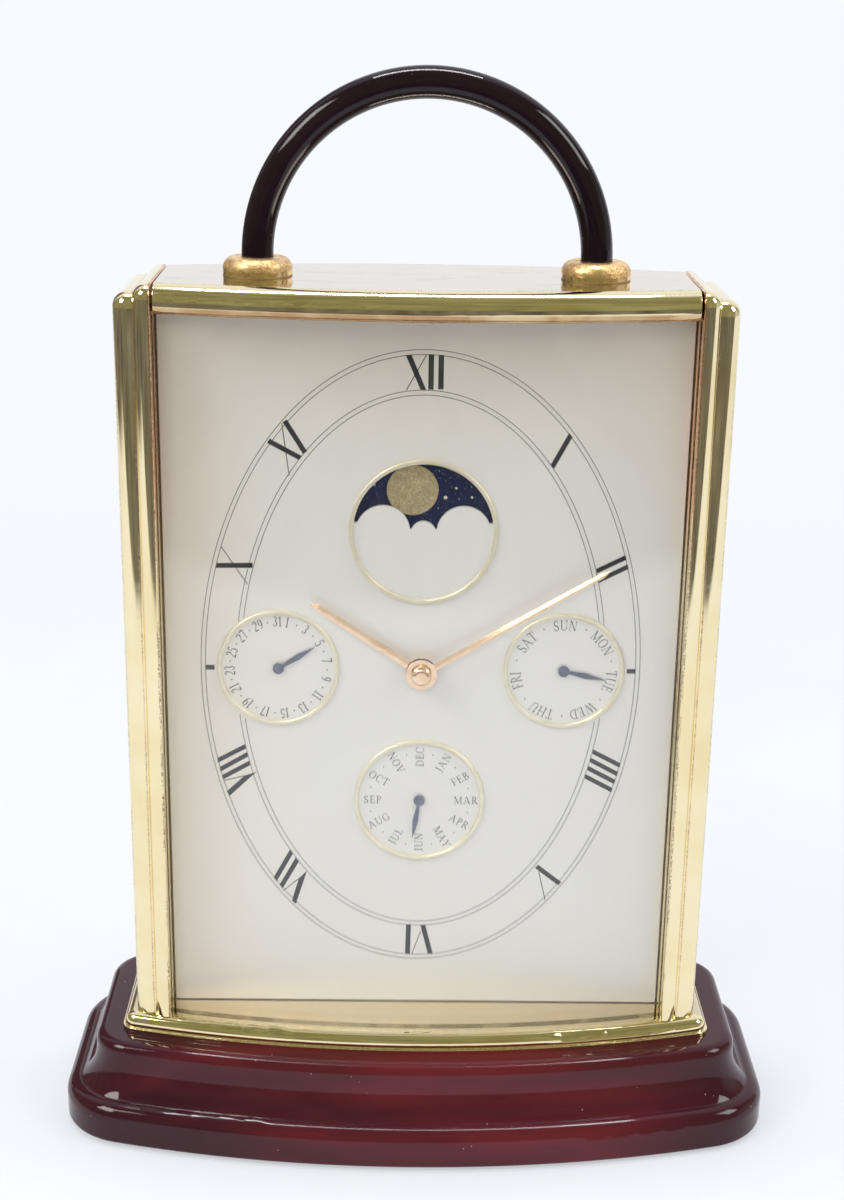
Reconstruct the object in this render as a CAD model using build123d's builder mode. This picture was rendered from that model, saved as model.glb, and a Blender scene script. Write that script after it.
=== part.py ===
from build123d import *
import math
import os

os.makedirs("parts", exist_ok=True)

# A moon phase desk clock: a brass-plated case between two ribbed side panels, on a moulded
# wooden base, with a carrying handle. All lengths are millimetres.
# The origin is on the floor under the middle of the base. +X is to the right, +Z is up,
# and the dial faces -Y. Depth grows from the glass towards the back.

# Heights
pad_stand = 0.8
base_height = 22.2
plate_thickness = 4.2
case_height = 177.4
top_plate_thickness = 6.6
dial_centre_rise = 2.2

base_top = pad_stand + base_height
case_floor = base_top + plate_thickness
case_top = case_floor + case_height
ceiling = case_top - top_plate_thickness
dial_centre = (case_floor + ceiling) / 2 + dial_centre_rise

# Clearances
seam = 0.5
slip = 0.3
sheet_play = 0.15
running = 0.05
overrun = 1.0

# The bow that the plates, the glass, the rear cover and the base share
bow_radius = 275.0

# Top plate
top_half_width = 59.0
top_apex = 23.1
top_nose_round = 3.6
top_foot_round = 2.2
top_pocket_half_width = 50.0
top_pocket_front = 3.0
top_pocket_back = 12.0
top_pocket_depth = 3.4
stud_boss_radius = 6.0

# Side panels: an inner rib that stands forward and a lower outer rib beside it
rib_inner_width = 4.1
rib_outer_width = 4.6
rib_inner_half_depth = 17.2
rib_outer_half_depth = 15.3
rib_outer_drop = 2.0
rib_inner_round = 3.2
rib_outer_round = 3.4
rib_edge_round = 0.5
rib_bite = 0.8
groove_depth = 1.6
channel_front = 3.4
channel_back = 10.6
channel_wall = 2.2
foot_height = 9.8
lug_thickness = 4.5
lug_reach = 7.0

side_inner = top_half_width + seam
side_step = side_inner + rib_inner_width
side_outer = side_step + rib_outer_width
channel_outer = side_outer - channel_wall
lug_bottom = ceiling - lug_thickness

# Bottom plate
lip_reach = 3.4
lip_half_width = side_outer + lip_reach
lip_apex = 25.85
lip_corner = 3.5
lip_thickness = 0.9
bead_inset = 0.6
bead_top_round = 2.5
bead_foot_round = 0.7

# Wooden base, as steps out from the bottom plate's lip
base_upper_step = 6.6
base_lower_step = 14.2
base_upper_round = 2.6
base_lower_round = 3.7
base_lower_height = 9.6
base_cove_rise = 9.2
base_foot_round = 0.8
moulding_root = 2.0
core_inset = 1.0
pad_radius = 7.0
pad_recess = 0.5
pad_inset = 5.6
pad_x = lip_half_width - pad_inset
pad_y = 17.0

# Screws
screw_radius = 1.5
screw_x = side_inner + rib_inner_width
screw_y = 8.0
screw_bite = 8.0
screw_head_radius = 2.9
screw_head_height = 2.2
counterbore_radius = 4.0
counterbore_depth = 14.0
lug_screw_inset = 3.5
lug_screw_front = 0.6
lug_screw_back = 7.0
lug_screw_bite = 3.6
small_screw_radius = 1.1
small_head_radius = 2.3
small_head_height = 1.3

# Handle and its ferrules
handle_radius = 37.55
handle_tube_radius = 3.55
handle_rise = 4.3
ferrule_radius = 7.7
ferrule_height = 4.1
ferrule_round = 2.4
ferrule_foot_round = 1.5
ferrule_floor = 1.1
stud_radius = 1.5
stud_reach = 9.0
nut_radius = 3.1
nut_height = 2.6

# Front glass and rear cover sheet
glass_thickness = 2.0
glass_setback = 1.8
rear_thickness = 2.0

glass_apex = top_apex - glass_setback
glass_radius = bow_radius - glass_setback

# Depth of each layer behind the glass, front face first
dial_front = -8.5
dial_thickness = 0.8
moon_space = 1.0
support_thickness = 1.5
level_gap = 0.3
drive_thickness = 0.8
star_gap = 0.5
star_thickness = 0.8
hour_gap = 0.6
motion_thickness = 0.8
motion_gap = 0.5
plate_gap = 0.4
movement_plate_thickness = 1.5
movement_room = 8.7
cover_thickness = 1.5
cover_gap = 0.5

dial_back = dial_front + dial_thickness
support_front = dial_back + moon_space
support_back = support_front + support_thickness
drive_front = support_back + level_gap
drive_back = drive_front + drive_thickness
star_front = drive_back + star_gap
star_back = star_front + star_thickness
hour_front = star_back + hour_gap
hour_back = hour_front + motion_thickness
motion_front = hour_back + motion_gap
motion_back = motion_front + motion_thickness
plate_front = motion_back + plate_gap
plate_back = plate_front + movement_plate_thickness
cover_inner = plate_back + movement_room
cover_outer = cover_inner + cover_thickness
recess_inner = cover_outer + cover_gap
recess_floor = recess_inner + rear_thickness

# Dial and the rings on it
dial_half_width = side_inner - slip
sheet_end_gap = 0.3
subdial_offset = 33.2
day_ring_radius = 14.15
month_ring_radius = 15.5
moon_ring_radius = 17.0
ring_width = 1.0
ring_height = 0.7
ring_round = 0.25
hour_tube_hole = 2.4
pointer_hole = 1.0

# Moon aperture: a disc cut off by two round clouds and a small one between them
cloud_radius = 6.2
cloud_offset = 9.2
cloud_base = 0.7
cloud_tip = 2.2
small_cloud_radius = 2.9
small_cloud_drop = 0.3
moon_disc_radius = 17.4
moon_tooth_depth = 1.0
moon_disc_thickness = 0.5
moon_teeth = 59

# Hands, as the photograph shows them, in degrees clockwise from twelve
hour_angle = 303.0
minute_angle = 59.1
date_angle = 58.0
day_angle = 102.0
month_angle = 188.8
hour_length = 30.8
minute_length = 49.9
hour_hand_level = 2.2
minute_hand_level = 3.5
hand_thickness = 0.4
hand_ridge = 0.35
hour_hand_width = 2.3
minute_hand_width = 1.8
hand_taper_share = 0.72
hand_point = 2.2
hub_radius = 3.6
hour_boss_radius = 2.8
boss_gap = 0.15
cap_radius = 2.4
cap_height = 1.9
cap_dome = 1.1
cap_bore_depth = 0.8

# Small pointers
pointer_lift = 0.25
pointer_thickness = 0.3
pointer_hub_radius = 1.3
pointer_hub_height = 0.5
pointer_bore_depth = 0.25
pointer_length = 10.0
pointer_width = 1.3
pointer_neck_width = 0.5
pointer_belly_share = 0.55

# Motion work and calendar drive
minute_arbor_radius = 0.9
hour_tube_radius = 1.9
motion_offset = 12.0
cannon_teeth = 12
reduction_teeth = 36
reduction_pinion_teeth = 10
hour_teeth = 40
reduction_arbor_radius = 1.0
drive_offset = 18.0
drive_pinion_teeth = 20
drive_teeth = 40
drive_arbor_radius = 0.6
drive_hub_radius = 2.0
finger_width = 1.2
finger_overlap = 0.9
finger_lead = 207.5
star_arbor_radius = 0.75
star_radius = 9.0
star_tooth_depth = 1.6
star_hub_radius = 2.2
date_teeth = 31
day_teeth = 7
month_teeth = 12
jumper_clearance = 0.15
jumper_thickness = 0.4
jumper_length = 14.0
jumper_post_radius = 1.2

motion_module = 2 * motion_offset / (cannon_teeth + reduction_teeth)
hour_module = 2 * motion_offset / (reduction_pinion_teeth + hour_teeth)
drive_module = 2 * drive_offset / (drive_pinion_teeth + drive_teeth)

# Gear tooth shape, as shares of the module and of the pitch angle
addendum_share = 0.85
dedendum_share = 1.15
tooth_tip_share = 0.11
tooth_root_share = 0.29
star_tip_share = 0.06
star_root_share = 0.46

# Quartz train
centre_teeth = 60
centre_pinion_teeth = 8
centre_distance = 10.2
intermediate_teeth = 64
rotor_pinion_teeth = 8
rotor_distance = 9.0
intermediate_direction = 30.0
centre_level = 0.8
centre_thickness = 0.6
pinion_overlap = 0.2
intermediate_level = 2.2
intermediate_thickness = 0.5
train_arbor_radius = 0.5
rotor_level = 3.4
rotor_thickness = 2.0
rotor_radius = 2.0
stator_level = 4.0
stator_thickness = 0.8
stator_bar_left = 13.0
stator_bar_width = 17.0
stator_bar_bottom = 0.5
stator_bar_height = 9.5
stator_leg_width = 4.5
stator_foot_bottom = -27.0
stator_foot_height = 5.0
rotor_hole_radius = 2.5
coil_radius = 3.9
coil_flange_length = 0.8
coil_wire_radius = 3.3
coil_length = 19.0
coil_gap = 1.2
board_left = -30.0
board_width = 24.0
board_half_height = 30.0
board_level = 6.9
board_thickness = 1.0
board_hole_radius = 1.5
chip_size = 7.0
chip_height = 1.2
crystal_radius = 1.0
crystal_length = 6.0
crystal_drop = 14.0

centre_module = 2 * centre_distance / (centre_teeth + centre_pinion_teeth)
rotor_module = 2 * rotor_distance / (intermediate_teeth + rotor_pinion_teeth)

# Movement housing
housing_half = 42.0
housing_corner = 4.0
housing_wall = 1.5
post_offset = 38.0
post_radius = 2.8
column_radius = 3.0
column_x = 44.0
column_low = 69.5
column_high = 51.0
column_bore_depth = 8.0
support_rim = 2.0
pivot_depth = 0.7

# Rear cover
recess_half_width = 48.0
recess_low = 75.0
recess_high = 55.0
recess_wall = 2.0
recess_corner = 5.0

# Setting knobs
knob_radius = 4.5
time_knob_radius = 6.0
knob_height = 4.2
knob_gap = 0.3
knob_grooves = 16
knob_groove_depth = 0.4
knob_crest_share = 0.2
knob_valley_share = 0.3
knob_bore_depth = 3.4

# Battery, its bay and its door
battery_radius = 7.1
battery_length = 49.3
battery_nub_radius = 2.7
battery_nub_length = 1.2
battery_drop = 57.0
battery_round = 0.8
bay_play = 0.6
bay_wall = 1.4
contact_room = 1.6
contact_thickness = 0.35
contact_half_height = 4.0
contact_width = 7.0
door_half_width = 30.6
door_opening_gap = 0.4
door_height = 20.4
door_thickness = 1.4
door_recess = 0.2
door_grip_width = 12.0
door_grip_height = 1.2
hinge_radius = 1.4
hinge_pin_radius = 0.8
hinge_pin_length = 2.6
hinge_lug_width = 3.0
hinge_lug_half_height = 2.5
hinge_lug_depth = 1.6

battery_z = dial_centre - battery_drop
bay_half_height = battery_radius + bay_play
bay_half_width = (battery_length + battery_nub_length) / 2 + contact_room
battery_y = support_back + bay_wall + bay_play + battery_radius
hinge_y = recess_floor - hinge_radius
hinge_z = battery_z + bay_half_height + bay_wall

# Places of the four calendar arbors, from the dial's centre
date_place = (-subdial_offset, 0)
day_place = (subdial_offset, 0)
month_place = (0, -subdial_offset)
moon_place = (0, subdial_offset)
calendar_places = (date_place, day_place, month_place, moon_place)
drive_places = ((-drive_offset, 0), (drive_offset, 0), (0, drive_offset))
corners = ((-1, -1), (1, -1), (1, 1), (-1, 1))


def facing(depth, place=(0, 0)):
    """Plane that faces the reader at a depth, with x to the right and y up from the dial's centre."""
    return Plane(origin=(place[0], depth, dial_centre + place[1]), x_dir=(1, 0, 0), z_dir=(0, -1, 0))


def disc(front, back, radius, place=(0, 0), mode=Mode.ADD):
    """Round disc or hole between two depths, about an axis square to the dial."""
    with BuildSketch(facing(back, place)) as face:
        Circle(radius)
    extrude(face.sketch, amount=back - front, mode=mode)


def slab(front, back, left, right, bottom, top, mode=Mode.ADD):
    """Rectangular slab between two depths. Its sides are taken from the dial's centre."""
    middle = ((left + right) / 2, (bottom + top) / 2)
    with BuildSketch(facing(back, middle)) as face:
        Rectangle(right - left, top - bottom)
    extrude(face.sketch, amount=back - front, mode=mode)


def post(bottom, top, radius, x=0, y=0, mode=Mode.ADD):
    """Upright round post or hole."""
    with BuildSketch(Plane((x, y, bottom))) as face:
        Circle(radius)
    extrude(face.sketch, amount=top - bottom, mode=mode)


def sag(radius, half_width):
    """How far a bow of this radius falls back at this distance from its apex."""
    return radius - math.sqrt(radius**2 - half_width**2)


def bowed_outline(height, half_width, apex, radius, corner):
    """Plan outline with a bowed front and back, straight sides and rounded corners."""
    end = apex - sag(radius, half_width)
    with BuildSketch(Plane.XY.offset(height)) as face:
        with BuildLine():
            ThreePointArc((-half_width, -end), (0, -apex), (half_width, -end))
            Line((half_width, -end), (half_width, end))
            ThreePointArc((half_width, end), (0, apex), (-half_width, end))
            Line((-half_width, end), (-half_width, -end))
        make_face()
        if corner:
            fillet(face.vertices(), corner)
    return face.sketch


def stepped_outline(height, step):
    """The bottom plate's plan outline, moved out by a step."""
    return bowed_outline(height, lip_half_width + step, lip_apex + step, bow_radius + step, lip_corner + step)


def outline_route(half_width, apex, radius, corner):
    """Closed route round a bowed outline, from the middle of the front, in the line that is open."""
    bow_centre = radius - apex
    corner_x = half_width - corner
    corner_y = math.sqrt((radius - corner) ** 2 - corner_x**2) - bow_centre
    corner_turn = math.atan2(corner_y + bow_centre, corner_x)
    bow_turn = math.pi / 2 - corner_turn
    half_bow = (radius * math.sin(bow_turn / 2), radius * math.cos(bow_turn / 2) - bow_centre)
    bow_end = (radius * math.sin(bow_turn), radius * math.cos(bow_turn) - bow_centre)
    half_corner = (
        corner_x + corner * math.cos(corner_turn / 2),
        corner_y + corner * math.sin(corner_turn / 2),
    )
    stops = ((0, apex), half_bow, bow_end, half_corner, (half_width, corner_y))
    for x_side, y_side in ((1, -1), (1, 1), (-1, 1), (-1, -1)):
        quarter = [(x_side * x, y_side * y) for x, y in stops]
        if x_side != -y_side:
            Line((x_side * half_width, -y_side * corner_y), quarter[-1])
            quarter.reverse()
        ThreePointArc(*quarter[:3])
        ThreePointArc(*quarter[2:])


def bowed_sheet(height, half_width, apex, radius, thickness, side):
    """Plan of a bowed sheet: side is -1 for the front glass and 1 for the rear cover."""
    outer_end = side * (apex - sag(radius, half_width))
    inner_apex = apex - thickness
    inner_end = side * (inner_apex - sag(radius - thickness, half_width))
    with BuildSketch(Plane.XY.offset(height)) as face:
        with BuildLine():
            ThreePointArc((-half_width, outer_end), (0, side * apex), (half_width, outer_end))
            Line((half_width, outer_end), (half_width, inner_end))
            ThreePointArc((half_width, inner_end), (0, side * inner_apex), (-half_width, inner_end))
            Line((-half_width, inner_end), (-half_width, outer_end))
        make_face()
    return face.sketch


def toothed(plane, teeth, tip_radius, root_radius, turn, tip_share, root_share):
    """Toothed outline with straight flanks. The first tooth points at the angle turn, in degrees."""
    points = []
    for tooth in range(teeth):
        for radius, share in (
            (root_radius, -root_share),
            (tip_radius, -tip_share),
            (tip_radius, tip_share),
            (root_radius, root_share),
        ):
            angle = math.radians(turn + (tooth + share) * 360 / teeth)
            points.append((radius * math.cos(angle), radius * math.sin(angle)))
    with BuildSketch(plane) as face:
        with BuildLine():
            Polyline(*points, close=True)
        make_face()
    return face.sketch


def gear(front, back, teeth, module, place=(0, 0), turn=0):
    """Spur gear between two depths."""
    tip_radius = module * (teeth / 2 + addendum_share)
    root_radius = module * (teeth / 2 - dedendum_share)
    outline = toothed(
        facing(back, place), teeth, tip_radius, root_radius, turn, tooth_tip_share, tooth_root_share
    )
    extrude(outline, amount=back - front)


def save(part, name):
    """Label a finished piece and write it."""
    part.label = name
    export_step(part, "parts/" + name + ".step")


# Wooden base: a moulding swept round the case's outline, about a plain core
lower_top = pad_stand + base_lower_height
with BuildPart() as wooden_base:
    with BuildLine() as route:
        outline_route(lip_half_width, lip_apex, bow_radius, lip_corner)
    with BuildSketch(Plane(origin=(0, -lip_apex, 0), x_dir=(0, -1, 0), z_dir=(-1, 0, 0))) as moulding:
        with BuildLine():
            foot = Line((-moulding_root, pad_stand), (base_lower_step - base_foot_round, pad_stand))
            toe = TangentArc(
                foot @ 1, (base_lower_step, pad_stand + base_foot_round), tangent=foot % 1
            )
            edge = Line(toe @ 1, (base_lower_step, lower_top - base_lower_round))
            shoulder = TangentArc(
                edge @ 1, (base_lower_step - base_lower_round, lower_top), tangent=edge % 1
            )
            cove_top = (base_upper_step, lower_top + base_cove_rise)
            cove = TangentArc(cove_top, shoulder @ 1, tangent=(0, -1))
            neck = Line(cove_top, (base_upper_step, base_top - base_upper_round))
            brow = TangentArc(
                neck @ 1, (base_upper_step - base_upper_round, base_top), tangent=neck % 1
            )
            Polyline(brow @ 1, (-moulding_root, base_top), foot @ 0)
        make_face()
    sweep(moulding.sketch, path=route.line)
    extrude(stepped_outline(pad_stand, -core_inset), amount=base_height)
    for x_side, y_side in corners:
        post(0, base_top + overrun, screw_radius + slip, x_side * screw_x, y_side * screw_y, Mode.SUBTRACT)
        post(0, counterbore_depth, counterbore_radius, x_side * screw_x, y_side * screw_y, Mode.SUBTRACT)
        post(0, pad_stand + pad_recess, pad_radius, x_side * pad_x, y_side * pad_y, Mode.SUBTRACT)
save(wooden_base.part, "wooden_base")

with BuildPart() as base_pads:
    for x_side, y_side in corners:
        post(0, pad_stand + pad_recess, pad_radius, x_side * pad_x, y_side * pad_y)
save(base_pads.part, "base_pads")

# Bottom plate: a thin lip under a rounded bead
with BuildPart() as bottom_plate:
    extrude(stepped_outline(base_top, -bead_inset), amount=plate_thickness)
    fillet(bottom_plate.faces().sort_by(Axis.Z)[-1].edges(), bead_top_round)
    fillet(bottom_plate.faces().sort_by(Axis.Z)[0].edges(), bead_foot_round)
    extrude(stepped_outline(base_top, 0), amount=lip_thickness)
    for x_side, y_side in corners:
        post(
            base_top - overrun,
            case_floor + overrun,
            screw_radius + running,
            x_side * screw_x,
            y_side * screw_y,
            Mode.SUBTRACT,
        )
save(bottom_plate.part, "bottom_plate")


def rib(hand, near, far, half_depth, height, rounding):
    """One rib of a side panel, with a ball end in front and behind and a slightly eased inner edge."""
    with BuildPart() as bar:
        with BuildSketch(Plane((hand * (near + far) / 2, 0, case_floor))):
            Rectangle(far - near, 2 * half_depth)
        extrude(amount=height)
        far_face = bar.faces().sort_by(Axis.X)[-1 if hand > 0 else 0]
        ends = bar.faces().sort_by(Axis.Z)[-1].edges().filter_by(Axis.X)
        fillet(far_face.edges().sort_by(Axis.Z)[1:] + ends, rounding)
        near_face = bar.faces().sort_by(Axis.X)[0 if hand > 0 else -1]
        fillet(near_face.edges().filter_by(Axis.Z), rib_edge_round)
    return bar.part


def side_panel(hand):
    """Cast side panel: two stepped ribs, grooves for the three sheets and a hollow between them."""
    glass_end = glass_apex - sag(glass_radius, side_inner)
    support_middle = (support_front + support_back) / 2
    groove_half = glass_thickness / 2 + slip
    sheet_middle = glass_end - glass_thickness / 2
    grooves = (
        (-sheet_middle, groove_half + sheet_play),
        (support_middle, support_thickness / 2 + sheet_play),
        (sheet_middle, groove_half + sheet_play),
    )
    with BuildPart() as panel:
        add(rib(hand, side_inner, side_step, rib_inner_half_depth, case_height, rib_inner_round))
        outer_top = case_height - rib_outer_drop
        add(rib(hand, side_step - rib_bite, side_outer, rib_outer_half_depth, outer_top, rib_outer_round))
        for middle, half in grooves:
            with BuildSketch(Plane((hand * (side_inner + groove_depth / 2), middle, case_floor))) as groove:
                Rectangle(groove_depth, 2 * half)
            extrude(groove.sketch, amount=ceiling - case_floor, mode=Mode.SUBTRACT)
        channel_middle = (channel_back - channel_front) / 2
        channel_depth = channel_back + channel_front
        channel_x = (side_inner + channel_outer) / 2
        with BuildSketch(Plane((hand * channel_x, channel_middle, case_floor + foot_height))) as channel:
            Rectangle(channel_outer - side_inner, channel_depth)
        extrude(channel.sketch, amount=lug_bottom - case_floor - foot_height, mode=Mode.SUBTRACT)
        with BuildSketch(Plane((hand * (side_inner - lug_reach / 2), channel_middle, lug_bottom))) as lug:
            Rectangle(lug_reach, channel_depth)
        extrude(lug.sketch, amount=lug_thickness)
        for depth in (lug_screw_front, lug_screw_back):
            lug_x = hand * (side_inner - lug_screw_inset)
            post(lug_bottom, ceiling, screw_radius + running, lug_x, depth, Mode.SUBTRACT)
        for y_side in (-1, 1):
            post(
                case_floor,
                case_floor + screw_bite,
                screw_radius + running,
                hand * screw_x,
                y_side * screw_y,
                Mode.SUBTRACT,
            )
    return panel.part


for hand, name in ((-1, "side_panel_left"), (1, "side_panel_right")):
    save(side_panel(hand), name)

# Top plate: bowed front and back with rounded noses, hollowed from below
with BuildPart() as top_plate:
    extrude(bowed_outline(ceiling, top_half_width, top_apex, bow_radius, 0), amount=top_plate_thickness)
    noses = top_plate.edges().filter_by(GeomType.CIRCLE).group_by(Axis.Z)
    fillet(noses[-1], top_nose_round)
    noses = top_plate.edges().filter_by(GeomType.CIRCLE).group_by(Axis.Z)
    fillet(noses[0], top_foot_round)
    pocket_middle = (top_pocket_back - top_pocket_front) / 2
    with BuildSketch(Plane((0, pocket_middle, ceiling))) as pocket:
        Rectangle(2 * top_pocket_half_width, top_pocket_back + top_pocket_front)
    extrude(pocket.sketch, amount=top_pocket_depth, mode=Mode.SUBTRACT)
    for x_side in (-1, 1):
        post(ceiling, ceiling + top_pocket_depth, stud_boss_radius, x_side * handle_radius)
        post(
            ceiling - overrun,
            case_top + overrun,
            stud_radius + running,
            x_side * handle_radius,
            0,
            Mode.SUBTRACT,
        )
        for depth in (lug_screw_front, lug_screw_back):
            lug_x = x_side * (side_inner - lug_screw_inset)
            post(ceiling, ceiling + lug_screw_bite, screw_radius + running, lug_x, depth, Mode.SUBTRACT)
save(top_plate.part, "top_plate")

# Screws that hold the case to the base, and the top plate to the side panels
with BuildPart() as base_screws:
    for x_side, y_side in corners:
        head_bottom = counterbore_depth - screw_head_height
        post(head_bottom, counterbore_depth, screw_head_radius, x_side * screw_x, y_side * screw_y)
        post(counterbore_depth, case_floor + screw_bite, screw_radius, x_side * screw_x, y_side * screw_y)
save(base_screws.part, "base_screws")

with BuildPart() as top_screws:
    for x_side in (-1, 1):
        for depth in (lug_screw_front, lug_screw_back):
            lug_x = x_side * (side_inner - lug_screw_inset)
            post(lug_bottom - screw_head_height, lug_bottom, screw_head_radius, lug_x, depth)
            post(lug_bottom, ceiling + lug_screw_bite, screw_radius, lug_x, depth)
save(top_screws.part, "top_screws")

# Handle: a round bar bent to a half circle on two short legs
leg_foot = case_top + ferrule_floor
arch_centre = case_top + handle_rise
with BuildPart() as handle:
    with BuildLine(Plane.XZ) as bend:
        Line((-handle_radius, leg_foot), (-handle_radius, arch_centre))
        ThreePointArc(
            (-handle_radius, arch_centre), (0, arch_centre + handle_radius), (handle_radius, arch_centre)
        )
        Line((handle_radius, arch_centre), (handle_radius, leg_foot))
    with BuildSketch(Plane((-handle_radius, 0, leg_foot))):
        Circle(handle_tube_radius)
    sweep(path=bend.line)
    for x_side in (-1, 1):
        post(
            leg_foot,
            leg_foot + stud_reach,
            stud_radius + running,
            x_side * handle_radius,
            0,
            Mode.SUBTRACT,
        )
save(handle.part, "handle")


def ferrule(x_side):
    """Bun-shaped ring that the foot of the handle sits in."""
    with BuildPart() as ring:
        with BuildSketch(Plane((x_side * handle_radius, 0, case_top), x_dir=(1, 0, 0), z_dir=(0, -1, 0))):
            with BuildLine():
                Polyline(
                    (stud_radius + running, 0),
                    (ferrule_radius, 0),
                    (ferrule_radius, ferrule_height),
                    (handle_tube_radius + running, ferrule_height),
                    (handle_tube_radius + running, ferrule_floor),
                    (stud_radius + running, ferrule_floor),
                    close=True,
                )
            profile = make_face()
            outer = profile.vertices().group_by(Axis.X)[-1].sort_by(Axis.Z)
            fillet(outer[-1], ferrule_round)
            fillet(outer[0], ferrule_foot_round)
        revolve(axis=Axis((x_side * handle_radius, 0, 0), (0, 0, 1)))
    return ring.part


for x_side, name in ((-1, "ferrule_left"), (1, "ferrule_right")):
    save(ferrule(x_side), name)

with BuildPart() as handle_studs:
    for x_side in (-1, 1):
        post(ceiling - nut_height, leg_foot + stud_reach, stud_radius, x_side * handle_radius)
save(handle_studs.part, "handle_studs")

with BuildPart() as handle_nuts:
    for x_side in (-1, 1):
        with BuildSketch(Plane((x_side * handle_radius, 0, ceiling - nut_height))) as hexagon:
            RegularPolygon(nut_radius, 6)
            Circle(stud_radius + running, mode=Mode.SUBTRACT)
        extrude(hexagon.sketch, amount=nut_height)
save(handle_nuts.part, "handle_nuts")

# Front glass, bowed like the plates, with its edges in the side grooves
sheet_half_width = side_inner + groove_depth - slip
with BuildPart() as front_glass:
    plan = bowed_sheet(case_floor, sheet_half_width, glass_apex, glass_radius, glass_thickness, -1)
    extrude(plan, amount=ceiling - case_floor)
save(front_glass.part, "front_glass")

# Dial plate with the moon aperture and the holes for the arbors
dial_bottom = case_floor + sheet_end_gap - dial_centre
dial_top = ceiling - sheet_end_gap - dial_centre
aperture_radius = moon_ring_radius - ring_width
with BuildPart() as dial_plate:
    slab(dial_front, dial_back, -dial_half_width, dial_half_width, dial_bottom, dial_top)
    disc(dial_front - overrun, dial_back + overrun, hour_tube_hole, mode=Mode.SUBTRACT)
    for place in (date_place, day_place, month_place):
        disc(dial_front - overrun, dial_back + overrun, pointer_hole, place, Mode.SUBTRACT)
    with BuildSketch(facing(dial_back, moon_place)) as aperture:
        Circle(aperture_radius)
        with Locations((0, cloud_base - aperture_radius)):
            Rectangle(2 * aperture_radius, 2 * aperture_radius, mode=Mode.SUBTRACT)
        for x_side, x_align in ((-1, Align.MAX), (1, Align.MIN)):
            with Locations((x_side * cloud_offset, cloud_tip)):
                Rectangle(aperture_radius, aperture_radius, align=(x_align, Align.MAX), mode=Mode.SUBTRACT)
            with Locations((x_side * cloud_offset, 0)):
                Circle(cloud_radius, mode=Mode.SUBTRACT)
        with Locations((0, -small_cloud_drop)):
            Circle(small_cloud_radius, mode=Mode.SUBTRACT)
    extrude(aperture.sketch, amount=dial_thickness, mode=Mode.SUBTRACT)
save(dial_plate.part, "dial_plate")


def dial_ring(radius, place):
    """Raised gilt ring on the dial."""
    with BuildPart() as ring:
        with BuildSketch(facing(dial_front, place)) as face:
            Circle(radius)
            Circle(radius - ring_width, mode=Mode.SUBTRACT)
        extrude(face.sketch, amount=ring_height)
        fillet(ring.faces().sort_by(Axis.Y)[0].edges(), ring_round)
    return ring.part


for radius, place, name in (
    (moon_ring_radius, moon_place, "moon_window_ring"),
    (day_ring_radius, date_place, "date_ring"),
    (day_ring_radius, day_place, "day_ring"),
    (month_ring_radius, month_place, "month_ring"),
):
    save(dial_ring(radius, place), name)

# Support plate: carries the dial on a rim, the calendar wheels, the movement and the rear cover
support_bottom = case_floor + sheet_end_gap - dial_centre
support_top = ceiling - sheet_end_gap - dial_centre
with BuildPart() as dial_support:
    slab(support_front, support_back, -sheet_half_width, sheet_half_width, support_bottom, support_top)
    slab(dial_back, support_front, -dial_half_width, dial_half_width, support_bottom, support_top)
    slab(
        dial_back,
        support_front,
        support_rim - dial_half_width,
        dial_half_width - support_rim,
        support_bottom + support_rim,
        support_top - support_rim,
        Mode.SUBTRACT,
    )
    for x_side, y_side in corners:
        corner_place = (x_side * post_offset, y_side * post_offset)
        disc(support_back, plate_front, post_radius, corner_place)
        disc(support_back, plate_front, small_screw_radius + running, corner_place, Mode.SUBTRACT)
        column_place = (x_side * column_x, column_high if y_side > 0 else -column_low)
        disc(support_back, recess_inner, column_radius, column_place)
        bore_front = recess_inner - column_bore_depth
        disc(bore_front, recess_inner, small_screw_radius + running, column_place, Mode.SUBTRACT)
    disc(dial_back, support_back, hour_tube_radius + running, mode=Mode.SUBTRACT)
    for place in calendar_places:
        disc(dial_back, support_back, star_arbor_radius + running, place, Mode.SUBTRACT)
    for place in drive_places:
        disc(dial_back, support_back, drive_arbor_radius + running, place, Mode.SUBTRACT)
save(dial_support.part, "dial_support")

# Moon disc: its edge carries one tooth for each of two moons' days
with BuildPart() as moon_disc:
    moon_disc_back = support_front - moon_space / 2 + moon_disc_thickness / 2
    outline = toothed(
        facing(moon_disc_back, moon_place),
        moon_teeth,
        moon_disc_radius,
        moon_disc_radius - moon_tooth_depth,
        0,
        star_tip_share,
        star_root_share,
    )
    extrude(outline, amount=moon_disc_thickness)
    moon_disc_front = moon_disc_back - moon_disc_thickness
    disc(moon_disc_front, moon_disc_back, star_arbor_radius + running, moon_place, Mode.SUBTRACT)
save(moon_disc.part, "moon_disc")


def across(angle, distance, depth):
    """Plane across a hand, at a distance from its axis. The angle is clockwise from twelve."""
    turn = math.radians(angle)
    return Plane(
        origin=(distance * math.sin(turn), depth, dial_centre + distance * math.cos(turn)),
        x_dir=(math.cos(turn), 0, -math.sin(turn)),
        z_dir=(-math.sin(turn), 0, -math.cos(turn)),
    )


def hand_section(width):
    """Section of a hand: flat behind, with two facets that meet in a ridge in front."""
    edge = hand_thickness - hand_ridge
    Polygon(
        (-width / 2, 0),
        (width / 2, 0),
        (width / 2, edge),
        (0, hand_thickness),
        (-width / 2, edge),
        align=None,
    )


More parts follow.
